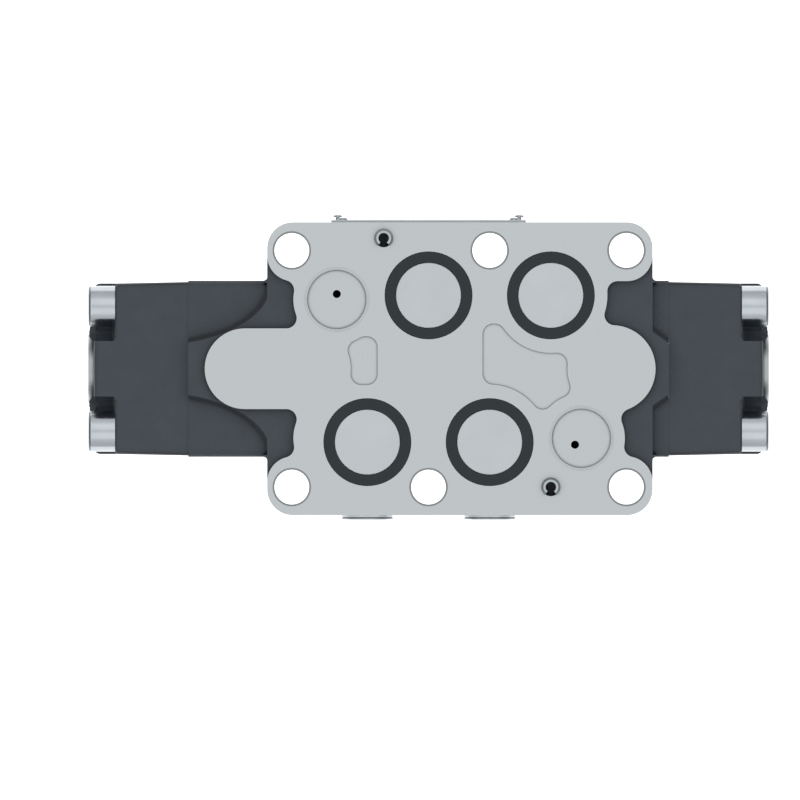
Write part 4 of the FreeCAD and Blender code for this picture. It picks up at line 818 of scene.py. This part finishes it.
class ValveCovers(bpy.types.Operator):
    """End covers with the rounded edges of a casting"""

    bl_idname = "valve.covers"
    bl_label = "End covers"

    def execute(self, context):
        for side, sign in SIDES.items():
            node = f"end_cover_{side}"
            piece = merged_copy(node)
            low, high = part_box(node)
            joint = low.x if sign > 0 else high.x
            axis = Vector((joint, 0, sizes().spool_high))
            self.thin_webs(axis, sign)
            mode("OBJECT")
            cut(piece, self.laid(self.ring(), axis, sign), "UNION")
            cut(piece, self.slot_tool(axis, sign))
            cut(piece, self.laid(self.disc(high.x - low.x), axis, sign), "UNION")
            self.round_edges(piece, joint, sign)
            settle(piece, f"cast_cover_{side}", node, "cast_body", smooth=50, finish="end_cover")
        return {"FINISHED"}

    def webs_end(self):
        """The height of the webs' ends over a cover's joint."""
        return sizes().cover_thick + sizes().web_long

    def laid(self, tool, axis, sign):
        """Turn a tool that stands on Z to a cover's axis."""
        take(tool)
        tool.location = axis
        tool.rotation_euler = (0, sign * math.pi / 2, 0)
        apply_place()
        return tool

    def thin_webs(self, axis, sign):
        """Move the sides of the crossing webs in edit mode towards their middles."""
        s = sizes()
        inside, outside = s.web_half - PLAY, s.web_half + s.web_root + PLAY
        for way in (Vector((0, 1, 0)), Vector((0, -1, 0)), Vector((0, 0, 1)), Vector((0, 0, -1))):

            def beside(at, normal):
                off = at - axis
                return inside < off.dot(way) < outside and sign * off.x > s.cover_thick - PLAY

            choose("VERT", beside)
            move(-s.web_thinner * way)

    def ring(self):
        """The cast ring round a disc, wider inside at its end."""
        s = sizes()
        tool = section(s.ring_inner, s.ring_outer, self.webs_end() - SUNK, s.ring_high)
        choose("VERT", lambda at, normal: at.z > s.ring_high - TOUCH and at.x < s.ring_inner + TOUCH)
        move((s.ring_mouth - s.ring_inner, 0, 0))
        spin_shut()
        return tool

    def disc(self, end):
        """The turned disc, up to the cover's end."""
        s = sizes()
        tool = bar(s.disc, s.cover_thick, end)
        choose_top(end)
        bevel(s.disc_edge, 2)
        tidy_mesh()
        return tool

    def slot_tool(self, axis, sign):
        """A wedge over the upright web, wider towards the cover's end."""
        s = sizes()
        high = s.slot_high
        at = axis + Vector((sign * (self.webs_end() + high / 2), 0, 0))
        tool = block(at, (high, 2 * s.slot_foot, 3 * s.cover_thick))
        for way in (-1, 1):
            choose("VERT", lambda co, normal: sign * (co.x - at.x) > 0 and way * co.y > 0)
            move((0, way * s.slot_flare * high, 0))
        mode("OBJECT")
        return tool

    def round_edges(self, piece, joint, sign):
        """Round a cover's sharp edges beyond the foot of its ring."""
        take(piece)
        mode("EDIT")
        foot = self.webs_end() - SUNK

        def outer(a, b):
            return min(sign * (a.x - joint), sign * (b.x - joint)) > foot

        choose("EDGE", outer, sharp=SHARP)
        bevel(sizes().casting_edge, 3, clamp_overlap=True)
        mode("OBJECT")


class ValveCoverScrews(bpy.types.Operator):
    """Socket head screws in the end covers"""

    bl_idname = "valve.cover_screws"
    bl_label = "Cover screws"

    def execute(self, context):
        s = sizes()
        low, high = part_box("cover_screws_right")
        long = high.x - low.x - s.screw_seat
        model = socket_screw(s.screw_body, s.screw_head, s.screw_head_high, s.screw_key, long)
        for side, sign in SIDES.items():
            node = f"cover_screws_{side}"
            low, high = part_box(node)
            seat = (high.x if sign > 0 else low.x) - sign * s.screw_seat
            turn = (0, sign * math.pi / 2, 0)
            for i, (across, up) in enumerate(CORNERS, start=1):
                at = (seat, across * s.screw_off, s.spool_high + up * s.screw_off)
                name = f"cover_screw_{side}_{i}"
                settle(copy_of(model), name, node, "screw_steel", at, turn, finish="cover_screw")
        remove(model)
        return {"FINISHED"}


class ValveGaugePlugs(bpy.types.Operator):
    """Screw plugs over the gauge drillings"""

    bl_idname = "valve.gauge_plugs"
    bl_label = "Gauge plugs"

    def execute(self, context):
        s = sizes()
        low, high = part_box("gauge_plug_right")
        head = (high.x - low.x) / 2
        model = bar(head, 0, s.gauge_head_high)
        # Both rims of the head
        choose("EDGE", lambda a, b: abs(a.z - b.z) < TOUCH)
        bevel(s.gauge_edge, 4)
        choose_end((0, 0, -1))
        inset(head - s.gauge_edge - s.gauge_body)
        extrude(s.gauge_head_high - high.y + low.y)
        tidy_mesh()
        key_hole(model, s.gauge_key, s.gauge_key_deep, s.gauge_head_high)
        turn = (-math.pi / 2, 0, 0)
        for side in SIDES:
            node = f"gauge_plug_{side}"
            at = middle(node)
            at.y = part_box(node)[1].y - s.gauge_head_high
            settle(copy_of(model), f"screw_plug_{side}", node, "screw_steel", at, turn)
        remove(model)
        return {"FINISHED"}


class ValveNameplate(bpy.types.Operator):
    """A bare nameplate with rounded corners, and its four rivets"""

    bl_idname = "valve.nameplate"
    bl_label = "Nameplate"

    def execute(self, context):
        s = sizes()
        low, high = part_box("nameplate")
        plate = block(middle("nameplate"), high - low)
        choose("EDGE", lambda a, b: abs(a.y - b.y) > 0.5 * (high.y - low.y))
        bevel(s.label_corner, 6)
        choose_end((0, -1, 0))
        bevel(s.label_edge, 2)
        tidy_mesh()
        settle(plate, "bare_plate", "nameplate", "label_metal")
        lower = (high.x - low.x) / 2 - s.rivet_margin
        rows = [
            (lower, low.z + s.rivet_edge, s.rivet_short),
            (lower + s.rivet_spread, high.z - s.rivet_edge, s.rivet_tall),
        ]
        number = 0
        for off, up, tall in rows:
            model = self.rivet(tall)
            for sign in (-1, 1):
                number += 1
                at = (middle("nameplate").x + sign * off, low.y, up)
                name = f"drive_rivet_{number}"
                settle(copy_of(model), name, "nameplate_rivets", "pin_steel", at, (math.pi / 2, 0, 0))
            remove(model)
        return {"FINISHED"}

    def rivet(self, tall):
        """A rivet along Z, with a lens head over its neck."""
        s = sizes()
        thick = min(s.rivet_short, tall)
        model = bar(s.rivet_head, tall - thick, tall, vertices=32)
        choose_top(tall)
        bevel(0.8 * thick, 5)
        choose_end((0, 0, -1))
        inset(s.rivet_head - s.rivet_neck)
        extrude(thick - tall - SUNK)
        tidy_mesh()
        return model


class ValvePilot(bpy.types.Operator):
    """The pilot valve's screws"""

    bl_idname = "valve.pilot"
    bl_label = "Pilot screws"

    def execute(self, context):
        s = sizes()
        low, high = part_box("pilot_screws")
        head = s.pilot_screw_head_high
        long = high.z - low.z - head
        model = socket_screw(s.pilot_screw_body, s.pilot_screw_head, head, s.pilot_screw_key, long)
        centre = middle("pilot_screws").x
        for i, (along, across) in enumerate(CORNERS, start=1):
            x, y = centre + along * s.pilot_screw_along / 2, across * s.pilot_screw_across / 2
            settle(copy_of(model), f"pilot_screw_{i}", "pilot_screws", "screw_steel", (x, y, high.z - head))
        remove(model)
        return {"FINISHED"}


class ValveCoils(bpy.types.Operator):
    """Moulded coils, their nuts and terminal blades with softened edges"""

    bl_idname = "valve.coils"
    bl_label = "Coils"

    def execute(self, context):
        edge = sizes().moulded_edge
        kinds = (
            ("coil", "moulded_coil", "coil_plastic", edge),
            ("coil_nut", "fluted_nut", "nut_plastic", edge),
            ("terminals", "flat_blades", "contact_metal", edge / 2),
        )
        for side in SIDES:
            for kind, name, slot, width in kinds:
                node = f"{kind}_{side}"
                settle(softened_copy(node, width), f"{name}_{side}", node, slot, smooth=40)
        return {"FINISHED"}


class ValveSprings(bpy.types.Operator):
    """Coil springs copied from their CAD nodes, each with its own mesh"""

    bl_idname = "valve.springs"
    bl_label = "Springs"

    def execute(self, context):
        for kind, joint in (("centring", "main_spool_slide"), ("pilot", "pilot_spool_slide")):
            for side, sign in SIDES.items():
                node = f"{kind}_spring_{side}"
                piece = merged_copy(node)
                mode("OBJECT")
                settle(piece, f"{kind}_coil_spring_{side}", node, "spring_steel")
                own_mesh(piece)
        return {"FINISHED"}


class ValveStage(bpy.types.Operator):
    """A plain board behind the valve, soft light from all round, and the camera under it"""

    bl_idname = "valve.stage"
    bl_label = "Stage"

    def execute(self, context):
        clear()
        bpy.ops.mesh.primitive_plane_add(size=12, location=(0, 0, AWAY), rotation=(math.pi, 0, 0))
        board = bpy.context.object
        board.name = "backdrop"
        board.data.materials.append(self.board_finish())
        self.light_world(context.scene)
        self.place_lamps()
        self.place_camera(context.scene)
        return {"FINISHED"}

    def board_finish(self):
        """Painted board that shows white to the camera and in reflections, and keeps a shadow."""
        material, tree, place = new_finish("pale_board")
        mottle = speckle(tree, place, 0.3)
        tone = shaded(tree, mottle, colours().backdrop, 0.99, 1.0)
        paths = add(tree, "LightPath").outputs
        seen = either(tree, [paths["Is Camera Ray"], paths["Is Glossy Ray"], paths["Is Transmission Ray"]])
        glow = {"Emission Color": (1, 1, 1, 1), "Emission Strength": both(tree, seen, 0.7)}
        put_on(tree, {"Base Color": tone, "Roughness": 0.9, **glow})
        return material

    def light_world(self, scene):
        """Light that is full below and above and softer at the sides, and white where it is seen."""
        world = bpy.data.worlds.new("soft_studio")
        scene.world = world
        world.use_nodes = True
        tree = world.node_tree
        tree.nodes.clear()
        way = add(tree, "TexCoord").outputs["Generated"]
        level = add(tree, "SeparateXYZ", {0: way}).outputs["Z"]
        level = add(tree, "Math", {0: level}, operation="ABSOLUTE").outputs[0]
        paths = add(tree, "LightPath").outputs
        # Metal sees paler walls round the valve than the paint is lit by
        limits = {"Value": paths["Is Glossy Ray"], "To Min": WALLS, "To Max": METAL_WALLS}
        walls = add(tree, "MapRange", limits).outputs[0]
        limits = {"Value": level, "From Min": 0.1, "From Max": 0.85, "To Min": walls, "To Max": 1.0}
        softened = add(tree, "MapRange", limits, interpolation_type="SMOOTHSTEP").outputs[0]
        around = add(tree, "Background", {"Color": (1, 1, 1, 1), "Strength": softened})
        seen = add(tree, "Background", {"Color": (1, 1, 1, 1), "Strength": 1.0})
        shown = either(tree, [paths["Is Camera Ray"], paths["Is Transmission Ray"]])
        mixed = add(tree, "MixShader", {0: shown, 1: around.outputs[0], 2: seen.outputs[0]})
        add(tree, "OutputWorld", {"Surface": mixed.outputs[0]})

    def place_lamps(self):
        """Four soft lamps that look up at the valve from its corners, and four that look down."""
        for i in range(4):
            round_z = math.pi / 4 + i * math.pi / 2
            for height, up in (("low", -1), ("high", 1)):
                bpy.ops.object.light_add(type="SUN", rotation=(0, 0, 0))
                lamp = bpy.context.object
                lamp.name = f"soft_lamp_{height}_{i + 1}"
                lamp.data.energy = LAMP_POWER
                lamp.data.angle = math.radians(60)
                # Steeper than level by 1.4 up or down per unit sideways
                towards = Vector((math.cos(round_z), math.sin(round_z), -up * 1.4))
                lamp.rotation_mode = "QUATERNION"
                lamp.rotation_quaternion = towards.to_track_quat("-Z", "Y")
                lamp.location = -towards * 0.5

    def place_camera(self, scene):
        """A parallel view straight up at the mounting face."""
        bpy.ops.object.camera_add(location=(VIEW_X, VIEW_Y, -AWAY), rotation=(math.pi, 0, 0))
        camera = bpy.context.object
        camera.data.type = "ORTHO"
        camera.data.ortho_scale = VIEW_WIDE
        camera.data.clip_end = 10 * AWAY
        scene.camera = camera
        scene.view_settings.view_transform = "Standard"


STEPS = [
    ValveFinishes,
    ValvePortSeals,
    ValvePortPlugs,
    ValveLocatingPins,
    ValveCovers,
    ValveCoverScrews,
    ValveGaugePlugs,
    ValveNameplate,
    ValvePilot,
    ValveCoils,
    ValveSprings,
    ValveStage,
]


class ValvePanel(bpy.types.Panel):
    """Lists the steps that dress the valve, with its sizes and colours"""

    bl_idname = "VIEW3D_PT_valve"
    bl_label = "Directional valve"
    bl_space_type = "VIEW_3D"
    bl_region_type = "UI"
    bl_category = "Valve"

    def draw(self, context):
        for step in STEPS:
            self.layout.operator(step.bl_idname)
        for group in (context.scene.valve_colours, context.scene.valve_sizes):
            box = self.layout.box()
            for name in group.bl_rna.properties.keys():
                if name not in ("rna_type", "name"):
                    box.prop(group, name)


CLASSES = [ValveColours, ValveSizes, *STEPS, ValvePanel]


def register():
    for cls in CLASSES:
        bpy.utils.register_class(cls)
    bpy.types.Scene.valve_colours = PointerProperty(type=ValveColours)
    bpy.types.Scene.valve_sizes = PointerProperty(type=ValveSizes)


def unregister():
    del bpy.types.Scene.valve_sizes
    del bpy.types.Scene.valve_colours
    for cls in reversed(CLASSES):
        bpy.utils.unregister_class(cls)


def main():
    register()
    for step in STEPS:
        group, name = step.bl_idname.split(".")
        getattr(getattr(bpy.ops, group), name)()


if __name__ == "__main__":
    main()
